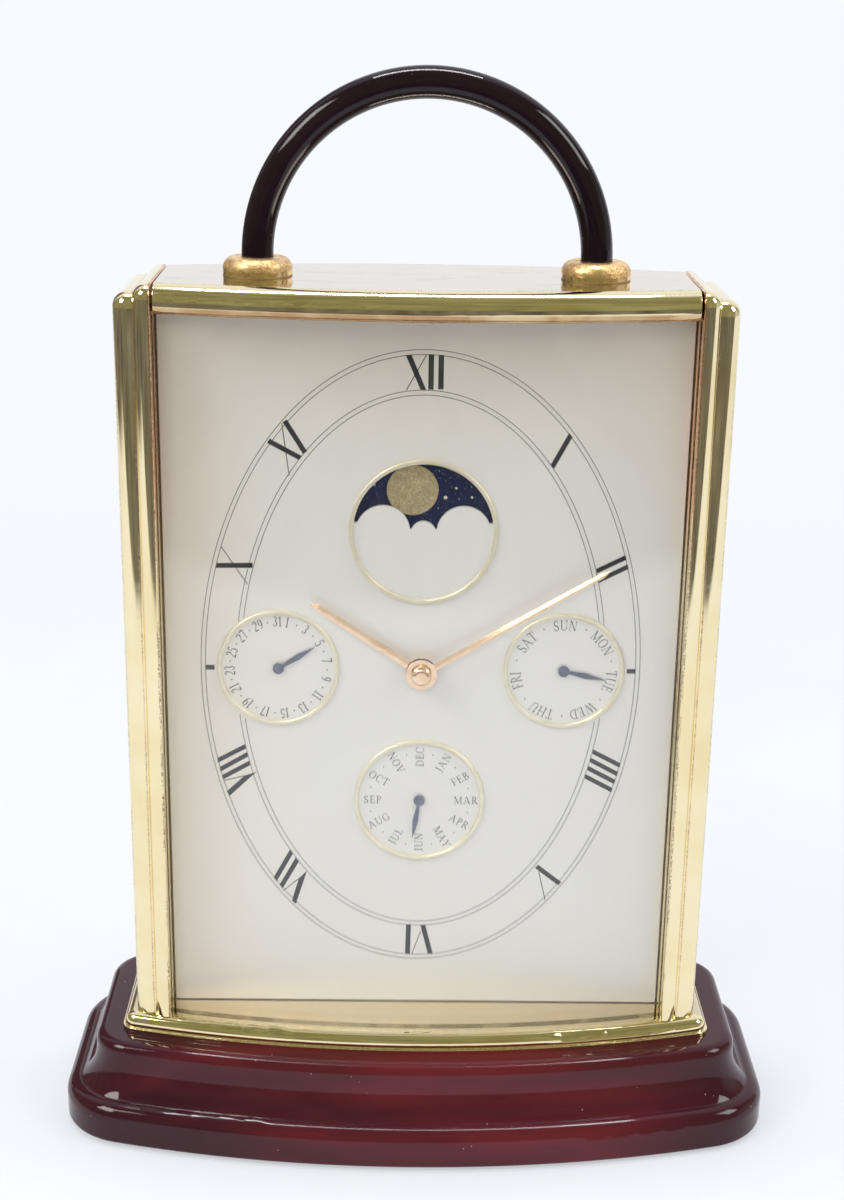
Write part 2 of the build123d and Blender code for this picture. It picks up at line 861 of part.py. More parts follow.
def hand(angle, length, width, back, bore, boss_radius, boss_back):
    """Long faceted hand that comes to a point, on a round hub with a boss behind it."""
    front = back - hand_thickness
    shoulder = length - hand_point
    with BuildPart() as blade:
        with BuildSketch(across(angle, 0, back)) as root_face:
            hand_section(width)
        with BuildSketch(across(angle, shoulder, back)) as shoulder_face:
            hand_section(width * hand_taper_share)
        loft([root_face.sketch, shoulder_face.sketch])
        loft([shoulder_face.sketch, Vertex(*across(angle, length, back).origin)])
        disc(front, back, hub_radius)
        disc(back, boss_back, boss_radius)
        disc(front - overrun, boss_back + overrun, bore, mode=Mode.SUBTRACT)
    return blade.part


hour_hand_back = dial_front - hour_hand_level
hour_hand_front = hour_hand_back - hand_thickness
minute_hand_back = dial_front - minute_hand_level
minute_hand_front = minute_hand_back - hand_thickness
hour_boss_back = dial_front - boss_gap
minute_boss_back = hour_hand_front - boss_gap
for angle, length, width, back, bore, boss_radius, boss_back, name in (
    (hour_angle, hour_length, hour_hand_width, hour_hand_back, hour_tube_radius, hour_boss_radius,
     hour_boss_back, "hour_hand"),
    (minute_angle, minute_length, minute_hand_width, minute_hand_back, minute_arbor_radius,
     hour_tube_radius, minute_boss_back, "minute_hand"),
):
    save(hand(angle, length, width, back, bore + running, boss_radius, boss_back), name)

# Domed nut that closes the end of the minute arbor
with BuildPart() as hand_cap:
    with BuildSketch(facing(minute_hand_front)) as cap_face:
        Circle(cap_radius)
    extrude(cap_face.sketch, amount=cap_height)
    fillet(hand_cap.faces().sort_by(Axis.Y)[0].edges(), cap_dome)
    cap_bore = minute_arbor_radius + running
    disc(minute_hand_front - cap_bore_depth, minute_hand_front, cap_bore, mode=Mode.SUBTRACT)
save(hand_cap.part, "hand_cap")


def pointer(angle, place):
    """Leaf-shaped pointer on a round hub, for one of the small dials."""
    back = dial_front - pointer_lift
    turn = math.radians(angle)
    outline_stations = (
        (0, pointer_neck_width / 2),
        (pointer_length * pointer_belly_share, pointer_width / 2),
        (pointer_length, 0),
        (pointer_length * pointer_belly_share, -pointer_width / 2),
        (0, -pointer_neck_width / 2),
    )
    points = [
        (
            distance * math.sin(turn) + aside * math.cos(turn),
            distance * math.cos(turn) - aside * math.sin(turn),
        )
        for distance, aside in outline_stations
    ]
    with BuildPart() as leaf:
        with BuildSketch(facing(back, place)) as face:
            with BuildLine():
                Polyline(*points, close=True)
            make_face()
        extrude(face.sketch, amount=pointer_thickness)
        disc(back - pointer_hub_height, back, pointer_hub_radius, place)
        bore_front = back - pointer_bore_depth - running
        disc(bore_front, back, star_arbor_radius + running, place, Mode.SUBTRACT)
    return leaf.part


for angle, place, name in (
    (date_angle, date_place, "date_pointer"),
    (day_angle, day_place, "day_pointer"),
    (month_angle, month_place, "month_pointer"),
):
    save(pointer(angle, place), name)

# Calendar stars: each has one tooth for each step, on an arbor that runs back to its knob
knob_front = recess_floor + knob_gap
knob_end = knob_front + knob_height
arbor_back = knob_front + knob_bore_depth


def star(teeth, place, arbor_front):
    """Star wheel with its hub and arbor."""
    with BuildPart() as wheel:
        outline = toothed(
            facing(star_back, place),
            teeth,
            star_radius,
            star_radius - star_tooth_depth,
            0,
            star_tip_share,
            star_root_share,
        )
        extrude(outline, amount=star_thickness)
        disc(support_back + level_gap, star_front, star_hub_radius, place)
        disc(arbor_front, arbor_back, star_arbor_radius, place)
    return wheel.part


pointer_arbor_front = dial_front - pointer_lift - pointer_bore_depth
for teeth, place, arbor_front, name in (
    (date_teeth, date_place, pointer_arbor_front, "date_star"),
    (day_teeth, day_place, pointer_arbor_front, "day_star"),
    (month_teeth, month_place, pointer_arbor_front, "month_star"),
    (moon_teeth, moon_place, moon_disc_front, "moon_star"),
):
    save(star(teeth, place, arbor_front), name)


def knob(radius, place, bore):
    """Grooved setting knob in the recess of the rear cover."""
    with BuildPart() as grip:
        outline = toothed(
            facing(knob_end, place),
            knob_grooves,
            radius,
            radius - knob_groove_depth,
            0,
            knob_crest_share,
            knob_valley_share,
        )
        extrude(outline, amount=knob_height)
        disc(knob_front, knob_front + knob_bore_depth, bore + running, place, Mode.SUBTRACT)
    return grip.part


motion_place = (0, -motion_offset)
for radius, place, bore, name in (
    (knob_radius, date_place, star_arbor_radius, "date_knob"),
    (knob_radius, day_place, star_arbor_radius, "day_knob"),
    (knob_radius, month_place, star_arbor_radius, "month_knob"),
    (knob_radius, moon_place, star_arbor_radius, "moon_knob"),
    (time_knob_radius, motion_place, reduction_arbor_radius, "time_knob"),
):
    save(knob(radius, place, bore), name)

# Spring clicks that stand beside the stars
with BuildPart() as star_clicks:
    click_distance = star_radius + jumper_clearance + jumper_thickness / 2
    for place in calendar_places:
        outward = (place[0] / subdial_offset, place[1] / subdial_offset)
        middle = (place[0] + outward[0] * click_distance, place[1] + outward[1] * click_distance)
        width = jumper_thickness if outward[0] else jumper_length
        height = jumper_length if outward[0] else jumper_thickness
        slab(
            star_front,
            star_back,
            middle[0] - width / 2,
            middle[0] + width / 2,
            middle[1] - height / 2,
            middle[1] + height / 2,
        )
        post_place = (
            middle[0] + abs(outward[1]) * jumper_length / 2 + outward[0] * jumper_post_radius,
            middle[1] + abs(outward[0]) * jumper_length / 2 + outward[1] * jumper_post_radius,
        )
        disc(support_back, star_back, jumper_post_radius, post_place)
save(star_clicks.part, "star_clicks")

# Motion work: the minute arbor turns the hour wheel through the reduction wheel
with BuildPart() as minute_arbor:
    disc(minute_hand_front - cap_bore_depth, plate_back + centre_level + centre_thickness + running,
         minute_arbor_radius)
    gear(motion_front, motion_back, cannon_teeth, motion_module)
save(minute_arbor.part, "minute_arbor")

with BuildPart() as hour_wheel:
    gear(hour_front, hour_back, hour_teeth, hour_module)
    gear(drive_front, drive_back, drive_pinion_teeth, drive_module)
    disc(hour_hand_front, hour_back, hour_tube_radius)
    disc(hour_hand_front - overrun, hour_back + overrun, minute_arbor_radius + running, mode=Mode.SUBTRACT)
save(hour_wheel.part, "hour_wheel")

with BuildPart() as reduction_wheel:
    reduction_turn = 90 + 180 / reduction_teeth
    gear(motion_front, motion_back, reduction_teeth, motion_module, motion_place, reduction_turn)
    pinion_turn = 90 + 180 / reduction_pinion_teeth
    gear(hour_front, motion_front, reduction_pinion_teeth, hour_module, motion_place, pinion_turn)
    disc(star_back + level_gap, arbor_back, reduction_arbor_radius, motion_place)
save(reduction_wheel.part, "reduction_wheel")


def drive_wheel(place, star_direction):
    """Wheel that turns once a day, with a finger that moves a star on at midnight."""
    outward = math.degrees(math.atan2(place[1], place[0]))
    mesh_turn = outward + 180 + 180 / drive_teeth
    reach = subdial_offset - drive_offset - star_radius + finger_overlap
    with BuildPart() as wheel:
        gear(drive_front, drive_back, drive_teeth, drive_module, place, mesh_turn)
        disc(drive_back, star_back, drive_hub_radius, place)
        finger_angle = math.radians(star_direction - finger_lead)
        tip = (reach * math.cos(finger_angle), reach * math.sin(finger_angle))
        side = (-math.sin(finger_angle) * finger_width / 2, math.cos(finger_angle) * finger_width / 2)
        with BuildSketch(facing(star_back, place)) as finger:
            with BuildLine():
                Polyline(
                    (side[0], side[1]),
                    (tip[0] + side[0] / 2, tip[1] + side[1] / 2),
                    (tip[0] - side[0] / 2, tip[1] - side[1] / 2),
                    (-side[0], -side[1]),
                    close=True,
                )
            make_face()
        extrude(finger.sketch, amount=star_thickness)
        disc(support_front, plate_front + movement_plate_thickness / 2, drive_arbor_radius, place)
    return wheel.part


for place, direction, name in zip(
    drive_places, (180, 0, 90), ("date_drive_wheel", "day_drive_wheel", "moon_drive_wheel")
):
    save(drive_wheel(place, direction), name)

# Quartz train behind the movement plate
turn = math.radians(intermediate_direction)
intermediate_place = (centre_distance * math.cos(turn), centre_distance * math.sin(turn))
rotor_place = (intermediate_place[0] + rotor_distance, intermediate_place[1])
centre_front = plate_back + centre_level
centre_back = centre_front + centre_thickness
intermediate_front = plate_back + intermediate_level
intermediate_back = intermediate_front + intermediate_thickness
pivot_front = plate_back - pivot_depth
pivot_back = cover_inner + pivot_depth

with BuildPart() as centre_wheel:
    gear(centre_front, centre_back, centre_teeth, centre_module)
    disc(centre_front, centre_back, minute_arbor_radius + running, mode=Mode.SUBTRACT)
save(centre_wheel.part, "centre_wheel")

with BuildPart() as intermediate_wheel:
    gear(
        centre_front - pinion_overlap,
        intermediate_front,
        centre_pinion_teeth,
        centre_module,
        intermediate_place,
        intermediate_direction + 180 + 180 / centre_pinion_teeth,
    )
    gear(intermediate_front, intermediate_back, intermediate_teeth, rotor_module, intermediate_place)
    disc(pivot_front, pivot_back, train_arbor_radius, intermediate_place)
save(intermediate_wheel.part, "intermediate_wheel")

rotor_front = plate_back + rotor_level
with BuildPart() as rotor:
    gear(
        intermediate_front - pinion_overlap,
        rotor_front,
        rotor_pinion_teeth,
        rotor_module,
        rotor_place,
        180 + 180 / rotor_pinion_teeth,
    )
    disc(rotor_front, rotor_front + rotor_thickness, rotor_radius, rotor_place)
    disc(pivot_front, pivot_back, train_arbor_radius, rotor_place)
save(rotor.part, "rotor")

# Stator: a soft iron yoke round the rotor, with the coil on its far leg
stator_front = plate_back + stator_level
stator_back = stator_front + stator_thickness
stator_right = stator_bar_left + stator_bar_width
stator_bar_top = stator_bar_bottom + stator_bar_height
with BuildPart() as stator:
    slab(stator_front, stator_back, stator_bar_left, stator_right, stator_bar_bottom, stator_bar_top)
    stator_foot_top = stator_foot_bottom + stator_foot_height
    slab(stator_front, stator_back, stator_bar_left, stator_right, stator_foot_bottom, stator_foot_top)
    leg_left = stator_right - stator_leg_width
    slab(stator_front, stator_back, leg_left, stator_right, stator_foot_top, stator_bar_bottom)
    left_leg_right = stator_bar_left + stator_leg_width
    slab(stator_front, stator_back, stator_bar_left, left_leg_right, stator_foot_top, stator_bar_bottom)
    disc(stator_front, stator_back, rotor_hole_radius, rotor_place, Mode.SUBTRACT)
save(stator.part, "stator")

coil_x = stator_right - stator_leg_width / 2
coil_y = (stator_front + stator_back) / 2
coil_top = dial_centre + stator_bar_bottom - coil_gap
with BuildPart() as coil:
    coil_bottom = coil_top - coil_length
    post(coil_bottom, coil_top, coil_wire_radius, coil_x, coil_y)
    for flange_bottom in (coil_bottom, coil_top - coil_flange_length):
        post(flange_bottom, flange_bottom + coil_flange_length, coil_radius, coil_x, coil_y)
    with BuildSketch(Plane((coil_x, coil_y, coil_bottom))) as core:
        Rectangle(stator_leg_width + 2 * running, stator_thickness + 2 * running)
    extrude(core.sketch, amount=coil_length, mode=Mode.SUBTRACT)
save(coil.part, "coil")

# Circuit board with its chip and crystal
board_front = plate_back + board_level
board_back = board_front + board_thickness
with BuildPart() as circuit_board:
    board_right = board_left + board_width
    slab(board_front, board_back, board_left, board_right, -board_half_height, board_half_height)
    chip_middle = board_left + board_width / 2
    slab(
        board_front - chip_height,
        board_front,
        chip_middle - chip_size / 2,
        chip_middle + chip_size / 2,
        -chip_size / 2,
        chip_size / 2,
    )
    crystal_top = dial_centre - crystal_drop
    post(crystal_top - crystal_length, crystal_top, crystal_radius, chip_middle, board_front)
    for y_side in (-1, 1):
        hole_place = (board_left + 2 * board_hole_radius, y_side * (board_half_height - 2 * board_hole_radius))
        disc(board_front, board_back, board_hole_radius, hole_place, Mode.SUBTRACT)
save(circuit_board.part, "circuit_board")


def housing_outline(depth, inset):
    """Rounded square of the movement housing."""
    with BuildSketch(facing(depth)) as face:
        RectangleRounded(2 * (housing_half - inset), 2 * (housing_half - inset), housing_corner - inset)
    return face.sketch


post_places = [(x_side * post_offset, y_side * post_offset) for x_side, y_side in corners]
with BuildPart() as movement_plate:
    extrude(housing_outline(plate_back, 0), amount=movement_plate_thickness)
    for place in post_places:
        disc(plate_front, plate_back, small_screw_radius + running, place, Mode.SUBTRACT)
    for place in calendar_places:
        disc(plate_front, plate_back, star_arbor_radius + running, place, Mode.SUBTRACT)
    for place in drive_places:
        drive_pivot = plate_front + movement_plate_thickness / 2
        disc(plate_front, drive_pivot, drive_arbor_radius + running, place, Mode.SUBTRACT)
    disc(plate_front, plate_back, minute_arbor_radius + running, mode=Mode.SUBTRACT)
    disc(plate_front, plate_back, reduction_arbor_radius + running, motion_place, Mode.SUBTRACT)
    for place in (intermediate_place, rotor_place):
        disc(pivot_front, plate_back, train_arbor_radius + running, place, Mode.SUBTRACT)
save(movement_plate.part, "movement_plate")

with BuildPart() as movement_cover:
    extrude(housing_outline(cover_outer, 0), amount=cover_outer - plate_back)
    extrude(housing_outline(cover_inner, housing_wall), amount=movement_room, mode=Mode.SUBTRACT)
    for place in post_places:
        disc(plate_back, cover_inner, post_radius, place)
        disc(plate_back, cover_outer, small_screw_radius + running, place, Mode.SUBTRACT)
    board_seat = (board_left + board_width / 2, board_half_height - 2 * board_hole_radius)
    for y_side in (-1, 1):
        disc(board_back, cover_inner, post_radius, (board_seat[0], y_side * board_seat[1]))
    for place in calendar_places:
        disc(cover_inner, cover_outer, star_arbor_radius + running, place, Mode.SUBTRACT)
    disc(cover_inner, cover_outer, reduction_arbor_radius + running, motion_place, Mode.SUBTRACT)
    for place in (intermediate_place, rotor_place):
        disc(cover_inner, pivot_back, train_arbor_radius + running, place, Mode.SUBTRACT)
    for depth_x in (stator_bar_left, leg_left):
        stand_place = (depth_x + stator_leg_width / 2, stator_foot_bottom + stator_foot_height / 2)
        disc(stator_back, cover_inner, stator_leg_width / 2, stand_place)
save(movement_cover.part, "movement_cover")

with BuildPart() as movement_screws:
    for place in post_places:
        disc(support_back, cover_outer, small_screw_radius, place)
        disc(cover_outer, cover_outer + cover_gap - running, small_head_radius, place)
save(movement_screws.part, "movement_screws")

# Battery bay, battery and its two leaf contacts
bay_bottom = battery_z - bay_half_height - dial_centre
bay_top = battery_z + bay_half_height - dial_centre
bay_back = hinge_y - hinge_radius - slip
with BuildPart() as battery_bay:
    slab(
        support_back,
        bay_back,
        -bay_half_width - bay_wall,
        bay_half_width + bay_wall,
        bay_bottom - bay_wall,
        bay_top + bay_wall,
    )
    slab(
        support_back + bay_wall,
        bay_back,
        -bay_half_width,
        bay_half_width,
        bay_bottom,
        bay_top,
        Mode.SUBTRACT,
    )
save(battery_bay.part, "battery_bay")

with BuildPart() as battery:
    can_left = -(battery_length + battery_nub_length) / 2
    with BuildSketch(Plane((can_left, battery_y, battery_z), x_dir=(0, 1, 0), z_dir=(1, 0, 0))) as can:
        Circle(battery_radius)
    extrude(can.sketch, amount=battery_length)
    fillet(battery.edges().filter_by(GeomType.CIRCLE), battery_round)
    can_right = can_left + battery_length
    with BuildSketch(Plane((can_right, battery_y, battery_z), x_dir=(0, 1, 0), z_dir=(1, 0, 0))) as nub:
        Circle(battery_nub_radius)
    extrude(nub.sketch, amount=battery_nub_length)
save(battery.part, "battery")

with BuildPart() as battery_contacts:
    for x_side in (-1, 1):
        wall_x = x_side * bay_half_width
        bulge_x = x_side * (bay_half_width - contact_room + contact_thickness)
        inner_x = x_side * (bay_half_width - contact_thickness)
        with BuildSketch(Plane((0, battery_y - contact_width / 2, battery_z), x_dir=(1, 0, 0),
                               z_dir=(0, 1, 0))) as leaf:
            with BuildLine():
                ThreePointArc(
                    (wall_x, -contact_half_height), (bulge_x, 0), (wall_x, contact_half_height)
                )
                Line((wall_x, contact_half_height), (inner_x, contact_half_height))
                ThreePointArc(
                    (inner_x, contact_half_height),
                    (bulge_x - x_side * contact_thickness, 0),
                    (inner_x, -contact_half_height),
                )
                Line((inner_x, -contact_half_height), (wall_x, -contact_half_height))
            make_face()
        extrude(leaf.sketch, amount=contact_width)
save(battery_contacts.part, "battery_contacts")

# Rear cover: a bowed sheet with a flat-floored recess for the knobs and the battery door
rear_bottom = case_floor + sheet_end_gap
rear_height = ceiling - case_floor - 2 * sheet_end_gap
recess_bottom = dial_centre - recess_low
recess_height = recess_low + recess_high
opening_half_width = door_half_width + door_opening_gap
opening_top = hinge_z + hinge_radius + slip - dial_centre
opening_bottom = hinge_z - door_height + hinge_radius - door_opening_gap - dial_centre
with BuildPart() as rear_cover:
    extrude(
        bowed_sheet(rear_bottom, sheet_half_width, glass_apex, glass_radius, rear_thickness, 1),
        amount=rear_height,
    )
    tray_half_width = recess_half_width + recess_wall
    with BuildSketch(Plane.XY.offset(recess_bottom - recess_wall)) as tray:
        with BuildLine():
            tray_end = glass_apex - sag(glass_radius, tray_half_width)
            ThreePointArc((-tray_half_width, tray_end), (0, glass_apex), (tray_half_width, tray_end))
            Polyline(
                (tray_half_width, tray_end),
                (tray_half_width, recess_inner),
                (-tray_half_width, recess_inner),
                (-tray_half_width, tray_end),
            )
        make_face()
    extrude(tray.sketch, amount=recess_height + 2 * recess_wall)
    with BuildSketch(facing(glass_apex + overrun, (0, (recess_high - recess_low) / 2))) as hollow:
        RectangleRounded(2 * recess_half_width, recess_height, recess_corner)
    extrude(hollow.sketch, amount=glass_apex + overrun - recess_floor, mode=Mode.SUBTRACT)
    lug_top = hinge_z + hinge_lug_half_height - dial_centre
    for x_side in (-1, 1):
        lug_middle = x_side * (opening_half_width + hinge_lug_width / 2)
        slab(
            recess_inner - hinge_lug_depth,
            recess_inner,
            lug_middle - hinge_lug_width / 2,
            lug_middle + hinge_lug_width / 2,
            lug_top - 2 * hinge_lug_half_height,
            lug_top,
        )
    slab(
        recess_inner - overrun,
        recess_floor + overrun,
        -opening_half_width,
        opening_half_width,
        opening_bottom,
        opening_top,
        Mode.SUBTRACT,
    )
    pin_end = door_half_width + hinge_pin_length + running
    with BuildSketch(Plane((-pin_end, hinge_y, hinge_z), x_dir=(0, 1, 0), z_dir=(1, 0, 0))) as pin_hole:
        Circle(hinge_pin_radius + running)
    extrude(pin_hole.sketch, amount=2 * pin_end, mode=Mode.SUBTRACT)
    for place in calendar_places:
        disc(recess_inner, recess_floor, star_arbor_radius + slip, place, Mode.SUBTRACT)
    disc(recess_inner, recess_floor, reduction_arbor_radius + slip, motion_place, Mode.SUBTRACT)
    for x_side, y_side in corners:
        column_place = (x_side * column_x, column_high if y_side > 0 else -column_low)
        disc(recess_inner, recess_floor, small_screw_radius + running, column_place, Mode.SUBTRACT)
save(rear_cover.part, "rear_cover")

with BuildPart() as rear_screws:
    for x_side, y_side in corners:
        column_place = (x_side * column_x, column_high if y_side > 0 else -column_low)
        screw_front = recess_inner - column_bore_depth
        disc(screw_front, recess_floor, small_screw_radius, column_place)
        disc(recess_floor, recess_floor + small_head_height, small_head_radius, column_place)
save(rear_screws.part, "rear_screws")

# Battery door: a flap on two pins along its upper edge
with BuildPart() as battery_door:
    door_back = recess_floor - door_recess
    door_front = door_back - door_thickness
    door_bottom = hinge_z - door_height + hinge_radius - dial_centre
    slab(door_front, door_back, -door_half_width, door_half_width, door_bottom, hinge_z - dial_centre)
    slab(
        door_back,
        door_back + door_grip_height,
        -door_grip_width / 2,
        door_grip_width / 2,
        door_bottom,
        door_bottom + door_grip_height,
    )
    for half_length, radius in (
        (door_half_width, hinge_radius),
        (door_half_width + hinge_pin_length, hinge_pin_radius),
    ):
        with BuildSketch(
            Plane((-half_length, hinge_y, hinge_z), x_dir=(0, 1, 0), z_dir=(1, 0, 0))
        ) as barrel:
            Circle(radius)
        extrude(barrel.sketch, amount=2 * half_length)
save(battery_door.part, "battery_door")
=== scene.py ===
import math

import bpy
from mathutils import Matrix, Vector


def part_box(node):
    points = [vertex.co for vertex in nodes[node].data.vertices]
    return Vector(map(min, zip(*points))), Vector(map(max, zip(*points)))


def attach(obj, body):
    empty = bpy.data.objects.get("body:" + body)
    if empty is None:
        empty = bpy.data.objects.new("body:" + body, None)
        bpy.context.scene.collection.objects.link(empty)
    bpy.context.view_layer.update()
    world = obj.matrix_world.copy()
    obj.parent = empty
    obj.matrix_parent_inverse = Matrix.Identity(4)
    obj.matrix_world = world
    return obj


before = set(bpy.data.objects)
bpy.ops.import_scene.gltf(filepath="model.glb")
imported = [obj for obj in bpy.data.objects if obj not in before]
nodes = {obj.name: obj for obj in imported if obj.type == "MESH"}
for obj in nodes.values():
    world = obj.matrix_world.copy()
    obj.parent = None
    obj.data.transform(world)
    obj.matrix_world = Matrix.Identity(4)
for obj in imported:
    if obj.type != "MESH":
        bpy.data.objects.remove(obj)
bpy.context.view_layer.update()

# Lengths in this script are millimetres unless they go straight to Blender
MM = 0.001


def span(name):
    """Lowest and highest corner of a piece of the frame, in millimetres."""
    low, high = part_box(name)
    return low / MM, high / MM


def centre_of(name):
    low, high = span(name)
    return (low + high) / 2


# Places on the clock
dial_face = span("dial_plate")[0].y
dial_centre = centre_of("hand_cap").z
subdial_offset = dial_centre - centre_of("month_ring").z
subdial_reach = 14.6
print_height = 0.03
print_sink = 0.01
handle_reach = centre_of("ferrule_right").x
side_inner = 59.5
side_step = 63.6
side_outer = span("side_panel_right")[1].x
bow_radius = 275.0
top_apex = 23.1
sill_apex = 25.85
cove_height = 12.0
backdrop = (0.935, 0.955, 1.0)


# Node materials
class Look:
    """One node material, built up from small helpers."""

    def __init__(self, name):
        self.material = bpy.data.materials.new(name)
        self.material.use_nodes = True
        self.tree = self.material.node_tree
        self.tree.nodes.clear()
        coordinates = self.node("ShaderNodeTexCoord").outputs["Object"]
        scaled = self.node("ShaderNodeVectorMath", {0: coordinates}, operation="SCALE")
        scaled.inputs["Scale"].default_value = 1 / MM
        self.place = scaled.outputs[0]
        split = self.node("ShaderNodeSeparateXYZ", {0: self.place})
        self.x, self.y, self.z = split.outputs[0], split.outputs[1], split.outputs[2]

    def node(self, kind, inputs=None, **settings):
        made = self.tree.nodes.new(kind)
        for key, value in settings.items():
            setattr(made, key, value)
        for key, value in (inputs or {}).items():
            self.feed(made.inputs[key], value)
        return made

    def feed(self, socket, value):
        if isinstance(value, bpy.types.NodeSocket):
            self.tree.links.new(value, socket)
        elif isinstance(value, tuple) and len(value) == 3 and socket.type == "RGBA":
            socket.default_value = (*value, 1.0)
        else:
            socket.default_value = value

    def math(self, operation, a, b=0.0, clamp=False):
        made = self.node("ShaderNodeMath", {0: a, 1: b}, operation=operation, use_clamp=clamp)
        return made.outputs[0]

    def times(self, a, b):
        return self.math("MULTIPLY", a, b)

    def larger(self, a, b):
        return self.math("MAXIMUM", a, b)

    def scaled(self, size, stretch=(1, 1, 1)):
        """The place on the piece, counted in features of that size in millimetres."""
        scale = tuple(1 / (size * s) for s in stretch)
        return self.node("ShaderNodeVectorMath", {0: self.place, 1: scale}, operation="MULTIPLY").outputs[0]

    def noise(self, size, detail=2.0, roughness=0.5, stretch=(1, 1, 1), distortion=0.0):
        """Noise with features of about that size in millimetres, longer along an axis by its stretch."""
        inputs = {"Vector": self.scaled(size, stretch), "Scale": 1.0}
        inputs.update({"Detail": detail, "Roughness": roughness, "Distortion": distortion})
        return self.node("ShaderNodeTexNoise", inputs).outputs[0]

    def cells(self, size, feature="F1"):
        """Cells of about that size in millimetres."""
        inputs = {"Vector": self.scaled(size), "Scale": 1.0}
        return self.node("ShaderNodeTexVoronoi", inputs, feature=feature)

    def range(self, value, low, high, out_low=0.0, out_high=1.0):
        """Smooth step of a value from low to high, given out between out_low and out_high."""
        inputs = {"Value": value, "From Min": low, "From Max": high, "To Min": out_low, "To Max": out_high}
        return self.node("ShaderNodeMapRange", inputs, interpolation_type="SMOOTHSTEP").outputs[0]

    def mix(self, share, a, b):
        made = self.node("ShaderNodeMix", data_type="RGBA")
        self.feed(made.inputs[0], share)
        self.feed(made.inputs[6], a)
        self.feed(made.inputs[7], b)
        return made.outputs[2]

    def near(self, value, target, width):
        """One where value is at target, fading to zero over the width on both sides."""
        away = self.math("ABSOLUTE", self.math("SUBTRACT", value, target))
        return self.range(away, 0.0, width, 1.0, 0.0)

    def bump(self, height, strength, depth, soften=0.0):
        """Normal from a height; soften rounds the edges and facets under it by that many millimetres."""
        inputs = {"Height": height, "Strength": strength, "Distance": depth * MM}
        if soften:
            inputs["Normal"] = self.node("ShaderNodeBevel", {"Radius": soften * MM}, samples=6).outputs[0]
        return self.node("ShaderNodeBump", inputs).outputs[0]

    def surface(self, colour, roughness, normal=None, **constants):
        shader = self.node("ShaderNodeBsdfPrincipled", {"Base Color": colour, "Roughness": roughness})
        if normal is not None:
            self.tree.links.new(normal, shader.inputs["Normal"])
        for key, value in constants.items():
            self.feed(shader.inputs[key.replace("_", " ")], value)
        return shader.outputs[0]

    def finish(self, shader):
        output = self.node("ShaderNodeOutputMaterial", {"Surface": shader})
        output.is_active_output = True
        return self.material


def bow_inset(look, apex):
    """Distance in from the bowed outline of a plate, in millimetres, the same for front and back."""
    along = look.times(look.x, look.x)
    across = look.math("ADD", look.math("ABSOLUTE", look.y), bow_radius - apex)
    away = look.math("SQRT", look.math("ADD", along, look.times(across, across)))
    return look.math("SUBTRACT", bow_radius, away)


gold = (0.93, 0.82, 0.53)
bared_copper = (0.82, 0.44, 0.22)


def plated(name, marks=None, colour=gold, flat=None, flat_tone=None, wear_and_painted_tone=bared_copper, waves=1.0):
    """Polished gold plate with faint waves and fine scratches.

    The flat function gives the share of another tone on flat faces, and the function after the name gives a
    tint and dark pits: copper where the plate is worn, and on the top plate also painted reflection and
    painted shadow.
    """
    look = Look(name)
    cloud = look.noise(26, 3, 0.6)
    fine = look.noise(1.1, 4, 0.7)
    scratch = look.noise(0.5, 3, 0.6, (14, 1, 3))
    deep = tuple(c * s for c, s in zip(colour, (0.95, 0.90, 0.80)))
    tone = look.mix(look.range(cloud, 0.35, 0.7), colour, deep)
    scratched = look.range(scratch, 0.5, 0.8, 0.0, 0.05)
    rough = look.math("ADD", look.range(cloud, 0.3, 0.75, 0.05, 0.09), scratched)
    height = look.math("ADD", look.noise(17, 1), look.times(fine, 0.04))
    metal = 1.0
    if flat is not None:
        tone = look.mix(flat(look), tone, flat_tone)
    if marks is not None:
        # tint: copper where the plate is worn, and on the top plate also painted reflection and painted
        # shadow
        tint, pits = marks(look)
        tone = look.mix(tint, tone, wear_and_painted_tone)
        grain = look.range(look.noise(0.45, 3, 0.75), 0.47, 0.56)
        pitted = look.math("MULTIPLY", pits, grain, True)
        tone = look.mix(pitted, tone, (0.10, 0.045, 0.028))
        rough = look.math("ADD", rough, look.times(pitted, 0.40), True)
        height = look.math("SUBTRACT", height, look.times(pitted, 0.8))
        metal = look.range(pitted, 0.0, 1.0, 1.0, 0.4)
    normal = look.bump(height, 0.16 * waves, 0.05, 0.3)
    return look.finish(look.surface(tone, rough, normal, Metallic=metal))


def top_flat(look):
    return look.range(bow_inset(look, top_apex), 3.0, 3.8)


def sill(look):
    return look.range(bow_inset(look, sill_apex), 3.2, 4.0)


